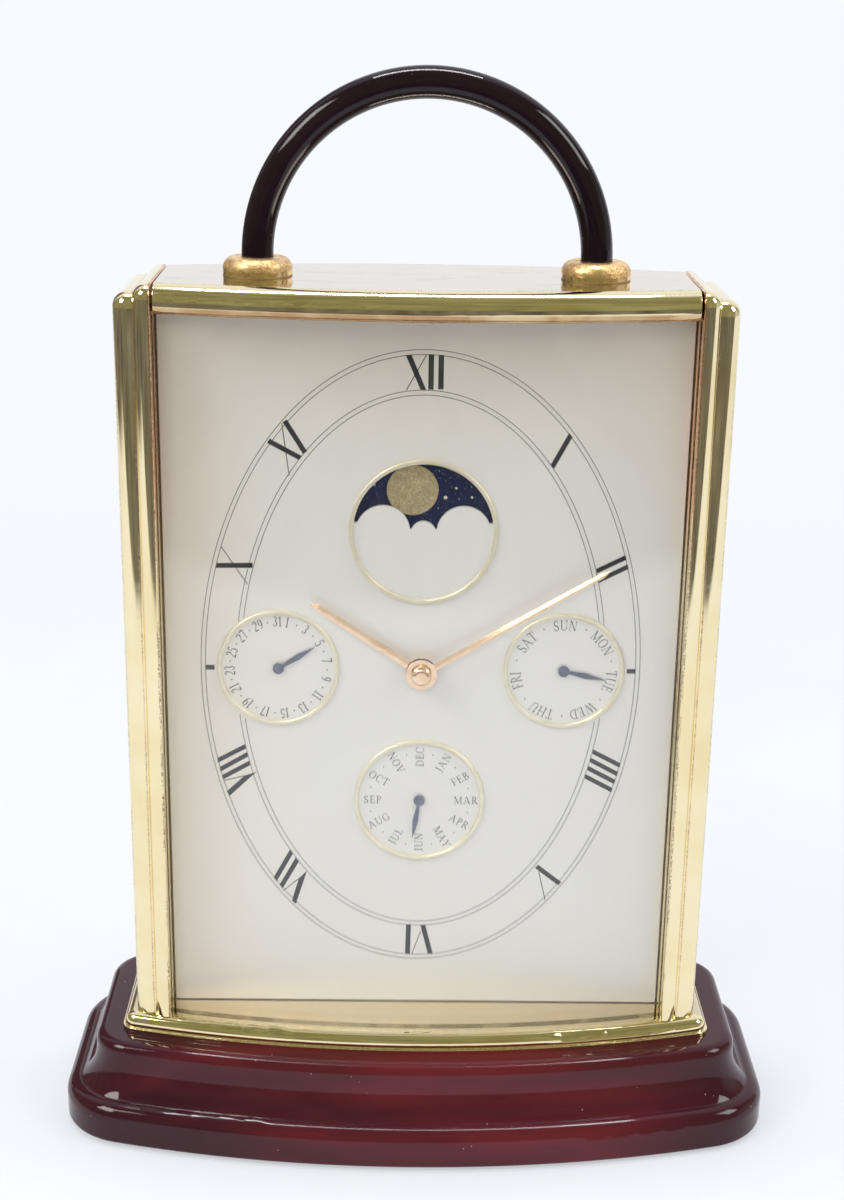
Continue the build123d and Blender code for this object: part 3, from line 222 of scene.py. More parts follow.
def top_wear(look):
    """Dotted brown line where the nose begins, stains on the flat and pits along its lower edge, painted dark
    copper reflection on the foot of the nose, and painted shadow round each ferrule where it sits on the
    plate.
    """
    ferrule_radius = 6.9
    under, over = [corner.z for corner in span("top_plate")]
    inset = bow_inset(look, top_apex)
    line = look.near(inset, 3.6, 0.34)
    # painted reflection: dark copper tint on the lowest two millimetres of the nose, standing in for the dark
    # parts it mirrors below
    foot = look.range(look.z, under + 2.2, under + 1.6)
    low_edge = look.range(look.z, under + 0.5, under + 0.1)
    off = look.math("SUBTRACT", look.math("ABSOLUTE", look.x), handle_reach)
    from_ferrule = look.math("SQRT", look.math("ADD", look.times(off, off), look.times(look.y, look.y)))
    on_top = look.range(look.z, over - 0.2, over - 0.1)
    # painted shadow: a thin dark copper band on the top face round each ferrule where it sits on the plate
    painted_shadow_round_ferrule = look.times(look.near(from_ferrule, ferrule_radius, 0.55), on_top)
    smudge = look.range(look.noise(7, 4, 0.75, (1.8, 1, 1)), 0.50, 0.70, 0.0, 0.32)
    stain = look.times(smudge, look.range(inset, 3.6, 4.4))
    tint = look.larger(stain, look.times(foot, look.range(look.noise(14, 3, 0.6), 0.35, 0.6, 0.55, 0.95)))
    tint = look.larger(tint, look.times(painted_shadow_round_ferrule, 0.8))
    return tint, look.larger(line, look.times(low_edge, 0.8))


def bottom_wear(look):
    """Brown dots behind the bead and in the corner under it, and a faint stain on the sill."""
    lip_top = span("bottom_plate")[0].z + 1.0
    inset = bow_inset(look, sill_apex)
    behind = look.near(inset, 3.3, 0.25)
    corner = look.times(look.near(look.z, lip_top, 0.25), look.range(inset, 1.2, 0.3))
    smudge = look.range(look.noise(8, 4, 0.7, (2, 1, 1)), 0.45, 0.75, 0.0, 0.25)
    stain = look.times(look.range(inset, 3.4, 4.2), smudge)
    return stain, look.larger(look.times(behind, 0.7), look.times(corner, 0.5))


def side_wear(look, band_height, band_width):
    """Pitted rib edges, with copper showing high up and pits in a band of height beside the glass."""
    aside = look.math("ABSOLUTE", look.x)
    high = look.range(look.z, 130.0, 165.0)
    band = look.near(look.z, band_height, band_width)
    inward = look.range(aside, side_inner + 0.12, side_inner + 0.04)
    inner_face = look.times(inward, look.range(look.y, 14.0, 12.0))
    inner_edge = look.near(aside, side_inner + 0.3, 0.38)
    groove = look.near(aside, side_step + 0.1, 0.3)
    outward = look.range(aside, side_outer - 0.8, side_outer - 0.2)
    outer_edge = look.times(outward, look.range(look.y, -12.0, -14.0))
    patch = look.range(look.noise(5, 2, 0.6, (1, 1, 3)), 0.36, 0.52)
    copper = look.times(look.larger(inner_edge, inner_face), high)
    tint = look.larger(copper, look.times(groove, 0.4))
    dots = look.larger(inner_edge, look.times(outer_edge, 0.9))
    dots = look.larger(look.times(dots, patch), look.times(inner_face, band))
    return tint, look.larger(dots, look.times(groove, look.times(patch, 0.6)))


def left_wear(look):
    return side_wear(look, 190.0, 60.0)


def right_wear(look):
    return side_wear(look, 110.0, 36.0)


def ferrule_look():
    """Gold plate that has worn to a fine sandy texture on top, with painted shadow darkening its foot where
    it sits on the plate.
    """
    look = Look("ferrule_gold")
    foot = span("ferrule_left")[0].z
    high = look.range(look.z, foot + 0.6, foot + 2.2)
    sand = look.noise(0.55, 3, 0.75)
    patch = look.range(look.noise(2.6, 2, 0.6), 0.36, 0.60, 0.55, 1.0)
    worn = look.times(high, patch)
    grain = look.times(look.range(sand, 0.44, 0.58), worn)
    tone = look.mix(look.range(sand, 0.3, 0.7), (0.93, 0.60, 0.26), (1.0, 0.84, 0.50))
    tone = look.mix(grain, tone, (0.42, 0.20, 0.085))
    rough = look.range(worn, 0.0, 1.0, 0.13, 0.45)
    height = look.times(sand, worn)
    # painted shadow: the foot darkens where the ferrule sits on the plate
    painted_contact_shadow = look.range(look.z, foot + 0.55, foot + 0.15)
    tone = look.mix(look.times(painted_contact_shadow, 0.75), tone, (0.22, 0.12, 0.06))
    rough = look.math("ADD", rough, look.times(painted_contact_shadow, 0.4))
    normal = look.bump(height, 0.9, 0.16)
    return look.finish(look.surface(tone, rough, normal, Metallic=look.range(grain, 0.0, 1.0, 1.0, 0.6)))


def lacquer(name, deep, light, grain=0.3, dusty=0.5, cool=None):
    """Clear gloss lacquer over a dark ground, with hardly any grain and a little dust.

    With a cool tone the piece gets darker toward its ends, and painted shade darkens the cove of its
    moulding.
    """
    look = Look(name)
    lines = look.noise(1.6, 4, 0.7, (26, 1, 1), 0.4)
    cloud = look.noise(15, 3, 0.5, (4, 1, 1))
    tone = look.mix(look.range(cloud, 0.35, 0.7), deep, light)
    tone = look.mix(look.range(lines, 0.4, 0.8, 0.0, grain), tone, deep)
    if cool is not None:
        aside = look.math("ABSOLUTE", look.math("ADD", look.x, look.range(cloud, 0.3, 0.7, -14.0, 4.0)))
        # painted shade: darker in the cove, where shade falls
        painted_cove_shade = look.times(look.near(look.z, cove_height, 5.0), 0.55)
        shade = look.larger(look.range(aside, 38.0, 74.0, 0.0, 0.9), painted_cove_shade)
        tone = look.mix(shade, tone, cool)
    dot = look.cells(1.9)
    chance = look.node("ShaderNodeSeparateColor", {0: dot.outputs["Color"]}).outputs[0]
    dust = look.times(look.range(dot.outputs["Distance"], 0.10, 0.06), look.range(chance, 0.86, 0.88))
    tone = look.mix(look.times(dust, dusty), tone, (0.52, 0.44, 0.42))
    satin = look.range(look.noise(7, 3, 0.6), 0.3, 0.7, 0.30, 0.40)
    rough = look.math("ADD", satin, look.times(dust, 0.3))
    height = look.math("ADD", look.noise(24, 1), look.times(look.noise(1.4, 2), 0.02))
    normal = look.bump(height, 0.12, 0.06, 0.7)
    smear = look.range(look.noise(18, 4, 0.65), 0.45, 0.8, 0.015, 0.07)
    coat = {"Coat_Weight": 1.0, "Coat_Roughness": smear, "Coat_IOR": 1.4, "Coat_Normal": normal}
    return look.finish(look.surface(tone, rough, normal, Specular_IOR_Level=0.0, **coat))


def felt():
    look = Look("green_felt")
    fuzz = look.noise(0.35, 4, 0.8)
    clump = look.noise(2.6, 3, 0.6)
    tone = look.mix(look.range(fuzz, 0.3, 0.7), (0.02, 0.055, 0.03), (0.07, 0.15, 0.09))
    tone = look.mix(look.range(clump, 0.4, 0.8, 0.0, 0.4), tone, (0.03, 0.07, 0.05))
    normal = look.bump(fuzz, 0.9, 0.25)
    sheen = {"Sheen_Weight": 0.5, "Sheen_Roughness": 0.5}
    return look.finish(look.surface(tone, look.range(fuzz, 0.2, 0.8, 0.8, 1.0), normal, **sheen))


def steel(name, tint, second_tint):
    """Turned metal whose tint wanders a little."""
    look = Look(name)
    turned = look.noise(0.3, 3, 0.6, (1, 1, 8))
    cloud = look.noise(4, 3, 0.6)
    tone = look.mix(look.range(cloud, 0.35, 0.7), tint, second_tint)
    dull = look.range(cloud, 0.4, 0.8, 0.0, 0.12)
    rough = look.math("ADD", look.range(turned, 0.3, 0.7, 0.18, 0.30), dull)
    normal = look.bump(look.math("ADD", turned, cloud), 0.3, 0.02)
    return look.finish(look.surface(tone, rough, normal, Metallic=1.0))


def moulded(name, dark, light, texture=0.4, depth=0.05, gloss=(0.42, 0.6)):
    """Moulded plastic with a fine spark-eroded grain."""
    look = Look(name)
    grain = look.noise(texture, 3, 0.65)
    cloud = look.noise(18, 3, 0.6)
    flow = look.noise(6, 2, 0.5, (1, 1, 5))
    tone = look.mix(look.range(cloud, 0.3, 0.75), dark, light)
    rough = look.range(look.math("ADD", grain, look.times(flow, 0.4)), 0.4, 1.0, gloss[0], gloss[1])
    normal = look.bump(grain, 0.5, depth)
    return look.finish(look.surface(tone, rough, normal))


def dial_paint():
    """Satin silvery cream paint with a very fine grain, with a painted warm reflection of the gold case
    toward the left and the top.
    """
    look = Look("dial_paint")
    grain = look.noise(0.22, 2, 0.6)
    cloud = look.noise(34, 3, 0.55)
    tone = look.mix(look.range(cloud, 0.3, 0.75), (0.735, 0.718, 0.695), (0.72, 0.70, 0.675))
    tone = look.mix(look.range(grain, 0.35, 0.75, 0.0, 0.22), tone, (0.66, 0.63, 0.58))
    # painted reflection: warmer tone toward the left and the top, standing in for the gold case mirrored in
    # the dial
    painted_gold_reflection = look.larger(look.range(look.x, -22.0, -56.0), look.range(look.z, 140.0, 196.0, 0.0, 0.8))
    tone = look.mix(painted_gold_reflection, tone, (0.735, 0.675, 0.60))
    speck = look.range(look.noise(0.8, 3, 0.8), 0.75, 0.80, 0.0, 0.22)
    tone = look.mix(speck, tone, (0.42, 0.36, 0.28))
    normal = look.bump(grain, 0.25, 0.02)
    return look.finish(look.surface(tone, look.range(grain, 0.2, 0.8, 0.34, 0.42), normal, Metallic=0.30))


def glass():
    """Clear thin sheet; shadows and soft light pass straight through."""
    look = Look("bowed_glass")
    smear = look.noise(22, 4, 0.6, (1, 1, 1.6))
    dust = look.range(look.noise(0.5, 2, 0.7), 0.72, 0.79, 0.0, 0.08)
    rough = look.math("ADD", look.range(smear, 0.45, 0.8, 0.0, 0.03), dust)
    tone = look.mix(look.range(smear, 0.3, 0.8), (0.985, 0.99, 0.985), (0.965, 0.975, 0.97))
    coat = {"Coat_Weight": 1.0, "Coat_IOR": 1.9, "Coat_Roughness": rough}
    clear = look.surface(tone, rough, Transmission_Weight=1.0, IOR=1.03, **coat)
    through = look.node("ShaderNodeBsdfTransparent", {0: (0.98, 0.985, 0.98)}).outputs[0]
    path = look.node("ShaderNodeLightPath")
    passing = look.larger(path.outputs["Is Shadow Ray"], path.outputs["Is Diffuse Ray"])
    share = look.range(passing, 0.0, 1.0, 0.6, 1.0)
    return look.finish(look.node("ShaderNodeMixShader", {0: share, 1: clear, 2: through}).outputs[0])


def ink(name, dark, light):
    """Dry printing ink."""
    look = Look(name)
    grain = look.noise(0.25, 3, 0.7)
    tone = look.mix(look.range(grain, 0.35, 0.75), dark, light)
    normal = look.bump(grain, 0.3, 0.01)
    return look.finish(look.surface(tone, look.range(grain, 0.3, 0.7, 0.38, 0.55), normal))


def ring_gilt():
    """Pale gilt of the rings round the small dials."""
    look = Look("ring_gilt")
    cloud = look.noise(3, 3, 0.6)
    tone = look.mix(look.range(cloud, 0.35, 0.7), (0.84, 0.78, 0.62), (0.78, 0.71, 0.53))
    fine = look.noise(0.3, 2)
    normal = look.bump(fine, 0.15, 0.01)
    return look.finish(look.surface(tone, look.range(cloud, 0.3, 0.7, 0.34, 0.44), normal, Metallic=0.8))


def rose_gold():
    """Polished rose gold of the hands, brushed along them."""
    look = Look("rose_gold")
    cloud = look.noise(5, 3, 0.6)
    brushed = look.noise(0.25, 3, 0.6, (6, 1, 6))
    tone = look.mix(look.range(cloud, 0.35, 0.7), (0.95, 0.70, 0.49), (0.86, 0.58, 0.37))
    strokes = look.range(brushed, 0.4, 0.8, 0.0, 0.05)
    rough = look.math("ADD", look.range(cloud, 0.3, 0.7, 0.07, 0.12), strokes)
    normal = look.bump(brushed, 0.1, 0.01)
    return look.finish(look.surface(tone, rough, normal, Metallic=1.0))


def blued():
    """Blue-grey pointers with a brown bloom."""
    look = Look("pointer_blue")
    cloud = look.noise(2, 3, 0.6)
    tone = look.mix(look.range(cloud, 0.35, 0.7), (0.12, 0.13, 0.20), (0.20, 0.21, 0.28))
    brown = look.range(look.noise(0.9, 3, 0.7), 0.55, 0.7, 0.0, 0.4)
    tone = look.mix(brown, tone, (0.20, 0.13, 0.10))
    normal = look.bump(look.noise(0.3, 2), 0.3, 0.02)
    return look.finish(look.surface(tone, look.range(cloud, 0.3, 0.7, 0.30, 0.45), normal, Metallic=0.7))


def night_sky():
    """Navy print with fine pale and gold speckles."""
    look = Look("night_sky")
    grain = look.noise(0.3, 3, 0.7)
    cloud = look.noise(4, 3, 0.6)
    tone = look.mix(look.range(cloud, 0.3, 0.7), (0.0035, 0.0065, 0.031), (0.0075, 0.0135, 0.056))
    dots = look.cells(0.42)
    chance = look.node("ShaderNodeSeparateColor", {0: dots.outputs["Color"]})
    speck = look.times(
        look.range(dots.outputs["Distance"], 0.28, 0.14), look.range(chance.outputs[0], 0.58, 0.66)
    )
    warm = look.mix(look.range(chance.outputs[1], 0.45, 0.55), (0.34, 0.40, 0.55), (0.42, 0.36, 0.22))
    tone = look.mix(look.times(speck, 0.55), tone, warm)
    normal = look.bump(grain, 0.3, 0.02)
    rough = look.range(grain, 0.3, 0.7, 0.35, 0.55)
    return look.finish(look.surface(tone, rough, normal, Specular_IOR_Level=0.15))


def glitter():
    """Gold glitter of the moons."""
    look = Look("moon_glitter")
    dots = look.cells(0.3)
    parts = look.node("ShaderNodeSeparateColor", {0: dots.outputs["Color"]})
    cloud = look.noise(2.6, 2, 0.5)
    tone = look.mix(parts.outputs[0], (0.32, 0.255, 0.13), (0.56, 0.47, 0.28))
    tone = look.mix(look.range(cloud, 0.35, 0.7, 0.0, 0.35), tone, (0.30, 0.22, 0.12))
    normal = look.bump(parts.outputs[1], 0.7, 0.05)
    shader = look.surface(tone, look.range(parts.outputs[2], 0.0, 1.0, 0.30, 0.6), normal, Metallic=0.65)
    return look.finish(shader)


def copper_coil():
    """Lacquered copper wire, wound in even turns, with painted shade in the grooves between the turns."""
    look = Look("copper_wire")
    inputs = {"Vector": look.place, "Scale": 0.95, "Distortion": 0.3, "Detail": 2.0}
    turns = look.node("ShaderNodeTexWave", inputs, wave_type="BANDS", bands_direction="Z").outputs[1]
    cloud = look.noise(3, 3, 0.6)
    # painted shade: each turn darkens toward the grooves between turns
    tone = look.mix(look.range(turns, 0.2, 0.8), (0.36, 0.13, 0.05), (0.80, 0.40, 0.19))
    tone = look.mix(look.range(cloud, 0.4, 0.8, 0.0, 0.3), tone, (0.5, 0.22, 0.1))
    normal = look.bump(turns, 0.7, 0.12)
    shader = look.surface(tone, look.range(cloud, 0.3, 0.7, 0.22, 0.36), normal, Metallic=0.9)
    return look.finish(shader)


def board():
    """Green circuit board with tracks."""
    look = Look("board_green")
    cell = look.cells(3.2, feature="DISTANCE_TO_EDGE")
    track = look.range(cell.outputs["Distance"], 0.09, 0.13)
    fine = look.noise(0.5, 2)
    tone = look.mix(track, (0.05, 0.26, 0.11), (0.02, 0.12, 0.05))
    tone = look.mix(look.range(fine, 0.4, 0.8, 0.0, 0.3), tone, (0.03, 0.17, 0.08))
    normal = look.bump(look.math("SUBTRACT", look.times(fine, 0.1), track), 0.5, 0.04)
    return look.finish(look.surface(tone, look.range(fine, 0.3, 0.7, 0.3, 0.42), normal))


def cell_wrap():
    """Plain dry cell: dark wrap with a copper-coloured band at one end."""
    look = Look("cell_wrap")
    band = look.range(look.x, 11.0, 11.3)
    cloud = look.noise(8, 3, 0.6)
    scuff = look.range(look.noise(0.9, 4, 0.75, (5, 1, 1)), 0.58, 0.72)
    tone = look.mix(look.range(cloud, 0.3, 0.7), (0.030, 0.032, 0.038), (0.055, 0.056, 0.062))
    tone = look.mix(band, tone, (0.62, 0.33, 0.14))
    tone = look.mix(look.times(scuff, 0.25), tone, (0.4, 0.4, 0.4))
    normal = look.bump(look.noise(1.2, 3), 0.25, 0.03)
    rough = look.math("ADD", look.range(cloud, 0.3, 0.7, 0.22, 0.32), look.times(scuff, 0.2))
    return look.finish(look.surface(tone, rough, normal, Metallic=0.55))


looks = {
    "burgundy_wood": lacquer(
        "burgundy_lacquer", (0.052, 0.0064, 0.0105), (0.108, 0.0105, 0.0170), cool=(0.023, 0.0038, 0.0090)
    ),
    "felt": felt(),
    "steel": steel("zinc_steel", (0.60, 0.60, 0.61), (0.66, 0.62, 0.50)),
    "handle_metal": lacquer("dark_lacquer", (0.0052, 0.0016, 0.0040), (0.0105, 0.0030, 0.0070), 0.2, 0.25),
    "clear_glass": glass(),
    "dial_cream": dial_paint(),
    "ring_gold": ring_gilt(),
    "hand_gold": rose_gold(),
    "pointer_blue": blued(),
    "moon_print": night_sky(),
    "inner_plastic": moulded("inner_plastic", (0.018, 0.018, 0.020), (0.028, 0.028, 0.030), 0.5),
    "white_plastic": moulded("white_acetal", (0.70, 0.69, 0.65), (0.78, 0.77, 0.74), 0.9, 0.02, (0.32, 0.45)),
    "train_brass": plated("train_brass", colour=(0.80, 0.62, 0.29), waves=2.0),
    "knob_plastic": moulded(
        "knob_plastic", (0.020, 0.020, 0.022), (0.034, 0.034, 0.036), 0.3, 0.04, (0.34, 0.5)
    ),
    "copper": copper_coil(),
    "board_green": board(),
    "cover_plastic": moulded(
        "cover_plastic", (0.014, 0.014, 0.016), (0.023, 0.023, 0.025), 0.55, 0.10, (0.46, 0.66)
    ),
    "cell": cell_wrap(),
    "spring_metal": steel("nickel_spring", (0.72, 0.71, 0.68), (0.66, 0.62, 0.55)),
}
own_looks = {
    # dark copper tint colour for stains, the painted reflection on the nose's foot and the painted shadow
    # round the ferrules
    "top_plate": plated(
        "top_gold", top_wear, flat=top_flat, flat_tone=(0.79, 0.70, 0.59), wear_and_painted_tone=(0.46, 0.27, 0.13)
    ),
    "bottom_plate": plated("bottom_gold", bottom_wear, flat=sill, flat_tone=(0.72, 0.62, 0.42)),
    "side_panel_left": plated("side_gold_left", left_wear),
    "side_panel_right": plated("side_gold_right", right_wear),
    "ferrule_left": ferrule_look(),
    "dial_support": moulded("support_tan", (0.58, 0.52, 0.38), (0.64, 0.58, 0.44), 0.5),
}
own_looks["ferrule_right"] = own_looks["ferrule_left"]

for name, node in nodes.items():
    slot_name = node.data.materials[0].name.split(".")[0] if node.data.materials else ""
    material = own_looks.get(name) or looks.get(slot_name)
    if material is None:
        raise RuntimeError("no look for " + name + " with slot " + slot_name)
    for index in range(len(node.data.materials)):
        node.data.materials[index] = material


# Printed and applied shapes on the dial
def bar(x0, z0, x1, z1, width):
    """Straight bar between two points, as one four-sided outline."""
    along = math.hypot(x1 - x0, z1 - z0)
    nx, nz = -(z1 - z0) / along * width / 2, (x1 - x0) / along * width / 2
    return [(x0 + nx, z0 + nz), (x1 + nx, z1 + nz), (x1 - nx, z1 - nz), (x0 - nx, z0 - nz)]


def arc_band(cx, cz, rx, rz, side, top, start, end, steps=18):
    """Band of an ellipse from start to end degrees, side wide at its sides and top thick above and below."""
    pieces = []
    for i in range(steps):
        quad = []
        for j, inner in ((i, False), (i + 1, False), (i + 1, True), (i, True)):
            turn = math.radians(start + (end - start) * j / steps)
            ax, az = (rx - side, rz - top) if inner else (rx, rz)
            quad.append((cx + ax * math.cos(turn), cz + az * math.sin(turn)))
        pieces.append(quad)
    return pieces


def dot(cx, cz, radius, steps=10):
    return [
        (cx + radius * math.cos(2 * math.pi * i / steps), cz + radius * math.sin(2 * math.pi * i / steps))
        for i in range(steps)
    ]


def applied(name, outlines, front, material, body):
    """Thin closed pieces on a flat face that looks along -y, from outlines of (x, z)."""
    points, faces = [], []
    for outline in outlines:
        area = sum(a[0] * b[1] - b[0] * a[1] for a, b in zip(outline, outline[1:] + outline[:1]))
        if area < 0:
            outline = outline[::-1]
        first, count = len(points), len(outline)
        points += [(x * MM, (front - print_height) * MM, z * MM) for x, z in outline]
        points += [(x * MM, (front + print_sink) * MM, z * MM) for x, z in outline]
        faces.append(tuple(range(first, first + count)))
        faces.append(tuple(range(first + 2 * count - 1, first + count - 1, -1)))
        for i in range(count):
            j = (i + 1) % count
            faces.append((first + i, first + count + i, first + count + j, first + j))
    mesh = bpy.data.meshes.new(name)
    mesh.from_pydata(points, [], faces)
    mesh.validate()
    mesh.materials.append(material)
    made = bpy.data.objects.new(name, mesh)
    bpy.context.scene.collection.objects.link(made)
    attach(made, body)


# Letters and digits, drawn one unit high: thick strokes, thin strokes and short serifs
THICK, THIN, SERIF = 0.10, 0.045, 0.10


def stem(x, low=0.0, high=1.0, width=THICK, foot=True, head=True):
    """Upright stroke with a serif at its foot and head."""
    pieces = [bar(x, low, x, high, width)]
    reach = SERIF + width / 2
    if foot:
        pieces.append(bar(x - reach, low + THIN / 2, x + reach, low + THIN / 2, THIN))
    if head:
        pieces.append(bar(x - reach, high - THIN / 2, x + reach, high - THIN / 2, THIN))
    return pieces


def level(x0, x1, z, width=THIN):
    return [bar(x0, z, x1, z, width)]


def foot_at(x, z):
    """Serif under or over the end of a slanted stroke."""
    return level(x - SERIF - 0.03, x + SERIF + 0.03, z)


low, high = THIN / 2, 1 - THIN / 2
glyphs = {
    "A": (0.92, [bar(0.10, 0, 0.45, 1, THIN), bar(0.41, 1, 0.80, 0, THICK)] + level(0.22, 0.66, 0.33)
          + foot_at(0.10, low) + foot_at(0.80, low)),
    "B": (0.72, stem(0.18, head=False, foot=False) + level(0.02, 0.36, low) + level(0.02, 0.34, high)
          + level(0.2, 0.36, 0.52) + arc_band(0.32, 0.755, 0.28, 0.245, THICK, THIN, -90, 90)
          + arc_band(0.34, 0.265, 0.34, 0.265, THICK, THIN, -90, 90)),
    "C": (0.80, arc_band(0.44, 0.5, 0.42, 0.52, THICK, THIN, 48, 312) + [bar(0.74, 0.66, 0.74, 0.98, THIN)]),
    "D": (0.86, stem(0.18, head=False, foot=False) + level(0.02, 0.34, low) + level(0.02, 0.34, high)
          + arc_band(0.32, 0.5, 0.50, 0.5, THICK, THIN, -90, 90)),
    "E": (0.70, stem(0.18, head=False, foot=False) + level(0.02, 0.60, high) + level(0.18, 0.48, 0.52)
          + level(0.02, 0.64, low) + [bar(0.60, 0.78, 0.60, 1, THIN), bar(0.64, 0, 0.64, 0.25, THIN),
                                      bar(0.48, 0.40, 0.48, 0.64, THIN)]),
    "F": (0.64, stem(0.18, head=False) + level(0.02, 0.58, high) + level(0.18, 0.46, 0.50)
          + [bar(0.58, 0.77, 0.58, 1, THIN), bar(0.46, 0.39, 0.46, 0.62, THIN)]),
    "G": (0.88, arc_band(0.44, 0.5, 0.42, 0.52, THICK, THIN, 48, 322) + [bar(0.76, 0.66, 0.76, 0.98, THIN)]
          + [bar(0.74, 0.08, 0.74, 0.42, THICK)] + level(0.60, 0.88, 0.42)),
    "H": (0.94, stem(0.18) + stem(0.76) + level(0.2, 0.76, 0.52)),
    "I": (0.38, stem(0.19)),
    "J": (0.46, stem(0.28, 0.12, foot=False) + arc_band(0.14, 0.12, 0.21, 0.20, THICK, THIN, -130, 0)),
    "L": (0.66, stem(0.18, foot=False) + level(0.02, 0.60, low) + [bar(0.60, 0, 0.60, 0.27, THIN)]),
    "M": (1.08, stem(0.14, width=THIN, head=False)
          + [bar(0.17, 1, 0.54, 0.05, THICK), bar(0.54, 0.05, 0.88, 1, THIN)]
          + stem(0.93, head=False) + level(0.0, 0.18, high) + level(0.88, 1.08, high)),
    "N": (0.94, stem(0.15, width=THIN, head=False) + [bar(0.16, 0.97, 0.77, 0.03, THICK)]
          + stem(0.79, width=THIN, foot=False) + level(0.0, 0.18, high)),
    "O": (0.88, arc_band(0.44, 0.5, 0.42, 0.52, THICK, THIN, 0, 360, 28)),
    "P": (0.66, stem(0.18, head=False) + level(0.02, 0.34, high) + level(0.2, 0.34, 0.46)
          + arc_band(0.32, 0.73, 0.30, 0.27, THICK, THIN, -90, 90)),
    "R": (0.78, stem(0.18, head=False) + level(0.02, 0.34, high) + level(0.2, 0.34, 0.48)
          + arc_band(0.32, 0.74, 0.29, 0.26, THICK, THIN, -90, 90) + [bar(0.38, 0.50, 0.72, 0, THICK)]
          + level(0.66, 0.80, low)),
    "S": (0.60, arc_band(0.29, 0.745, 0.24, 0.27, THICK, THIN, 30, 215)
          + [bar(0.12, 0.60, 0.46, 0.40, THICK * 1.1)]
          + arc_band(0.29, 0.265, 0.26, 0.28, THICK, THIN, -150, 35)
          + [bar(0.49, 0.72, 0.49, 0.98, THIN), bar(0.06, 0.02, 0.06, 0.30, THIN)]),
    "T": (0.74, stem(0.37, head=False) + level(0.02, 0.72, high)
          + [bar(0.04, 0.76, 0.04, 1, THIN), bar(0.70, 0.76, 0.70, 1, THIN)]),
    "U": (0.90, stem(0.18, 0.3, foot=False)
          + arc_band(0.45, 0.31, 0.335, 0.33, THICK * 0.8, THIN * 1.3, 180, 360)
          + stem(0.765, 0.3, width=THIN, foot=False)),
    "V": (0.88, [bar(0.12, 1, 0.45, 0.02, THICK), bar(0.47, 0.02, 0.78, 1, THIN)] + foot_at(0.12, high)
          + foot_at(0.78, high)),
    "W": (1.24, [bar(0.12, 1, 0.38, 0.02, THICK), bar(0.40, 0.02, 0.62, 0.95, THIN)]
          + [bar(0.58, 1, 0.85, 0.02, THICK), bar(0.87, 0.02, 1.12, 1, THIN)]
          + foot_at(0.12, high) + foot_at(0.60, high) + foot_at(1.12, high)),
    "Y": (0.82, [bar(0.10, 1, 0.41, 0.46, THICK), bar(0.43, 0.46, 0.72, 1, THIN)]
          + stem(0.41, 0, 0.5, head=False) + foot_at(0.10, high) + foot_at(0.72, high)),
    "1": (0.40, stem(0.22, head=False, width=0.11) + [bar(0.06, 0.84, 0.24, 0.98, THIN)]),
    "2": (0.56, arc_band(0.27, 0.72, 0.23, 0.28, 0.12, THIN, -30, 170)
          + [bar(0.44, 0.62, 0.06, 0.06, 0.07)] + level(0.04, 0.50, 0.05, 0.10)),
    "3": (0.54, arc_band(0.24, 0.755, 0.20, 0.245, 0.11, THIN, -90, 150)
          + arc_band(0.23, 0.265, 0.25, 0.265, 0.12, THIN, -150, 90) + [dot(0.08, 0.16, 0.06)]),
    "5": (0.54, level(0.14, 0.48, 0.94, 0.10) + [bar(0.14, 0.97, 0.11, 0.56, THIN)]
          + arc_band(0.24, 0.315, 0.25, 0.315, 0.12, THIN, -150, 125) + [dot(0.08, 0.16, 0.06)]),
    "7": (0.54, level(0.05, 0.50, 0.94, 0.10)
          + [bar(0.49, 0.94, 0.20, 0.0, 0.09), bar(0.06, 0.80, 0.06, 0.98, THIN)]),
    "9": (0.56, arc_band(0.28, 0.68, 0.24, 0.32, 0.12, THIN, 0, 360, 22)
          + arc_band(0.06, 0.68, 0.46, 0.68, 0.11, THIN, -82, -2, 12)),
}


def lettering(word, x, z, turn, size, squeeze=1.0, gap=0.10):
    """Outlines of a word centred on (x, z), size high, turned anticlockwise by turn degrees."""
    widths = [glyphs[c][0] * squeeze for c in word]
    run = sum(widths) + gap * (len(word) - 1)
    c, s = math.cos(math.radians(turn)), math.sin(math.radians(turn))
    made, pen = [], -run / 2
    for character, width in zip(word, widths):
        for outline in glyphs[character][1]:
            moved = []
            for px, pz in outline:
                lx, lz = (pen + px * squeeze) * size, (pz - 0.5) * size
                moved.append((x + lx * c - lz * s, z + lx * s + lz * c))
            made.append(moved)
        pen += width + gap
    return made


def ellipse_line(cx, cz, rx, rz, width):
    return arc_band(cx, cz, rx + width / 2, rz + width / 2, width, width, 0, 360, 360)


def cut_bar(x0, z0, x1, z1, width):
    """Bar of an hour numeral whose ends follow the chapter's ellipses, from the inner to the outer."""
    along = math.hypot(x1 - x0, z1 - z0)
    ux, uz = (x1 - x0) / along, (z1 - z0) / along
    corners = []
    for side in (1, -1):
        px, pz = x0 - uz * width / 2 * side, z0 + ux * width / 2 * side
        ends = []
        for rx, rz, wanted in ((43.0, 66.4, 0), (50.2, 74.6, along)):
            dx, dz = px - chapter_x, pz - chapter_z
            a = (ux / rx) ** 2 + (uz / rz) ** 2
            b = 2 * (dx * ux / rx ** 2 + dz * uz / rz ** 2)
            c = (dx / rx) ** 2 + (dz / rz) ** 2 - 1
            root = math.sqrt(max(b * b - 4 * a * c, 0))
            crossings = ((-b + root) / (2 * a), (-b - root) / (2 * a))
            here = min(crossings, key=lambda t: abs(t - wanted))
            ends.append((px + ux * here, pz + uz * here))
        corners.append(ends)
    return [corners[0][0], corners[0][1], corners[1][1], corners[1][0]]


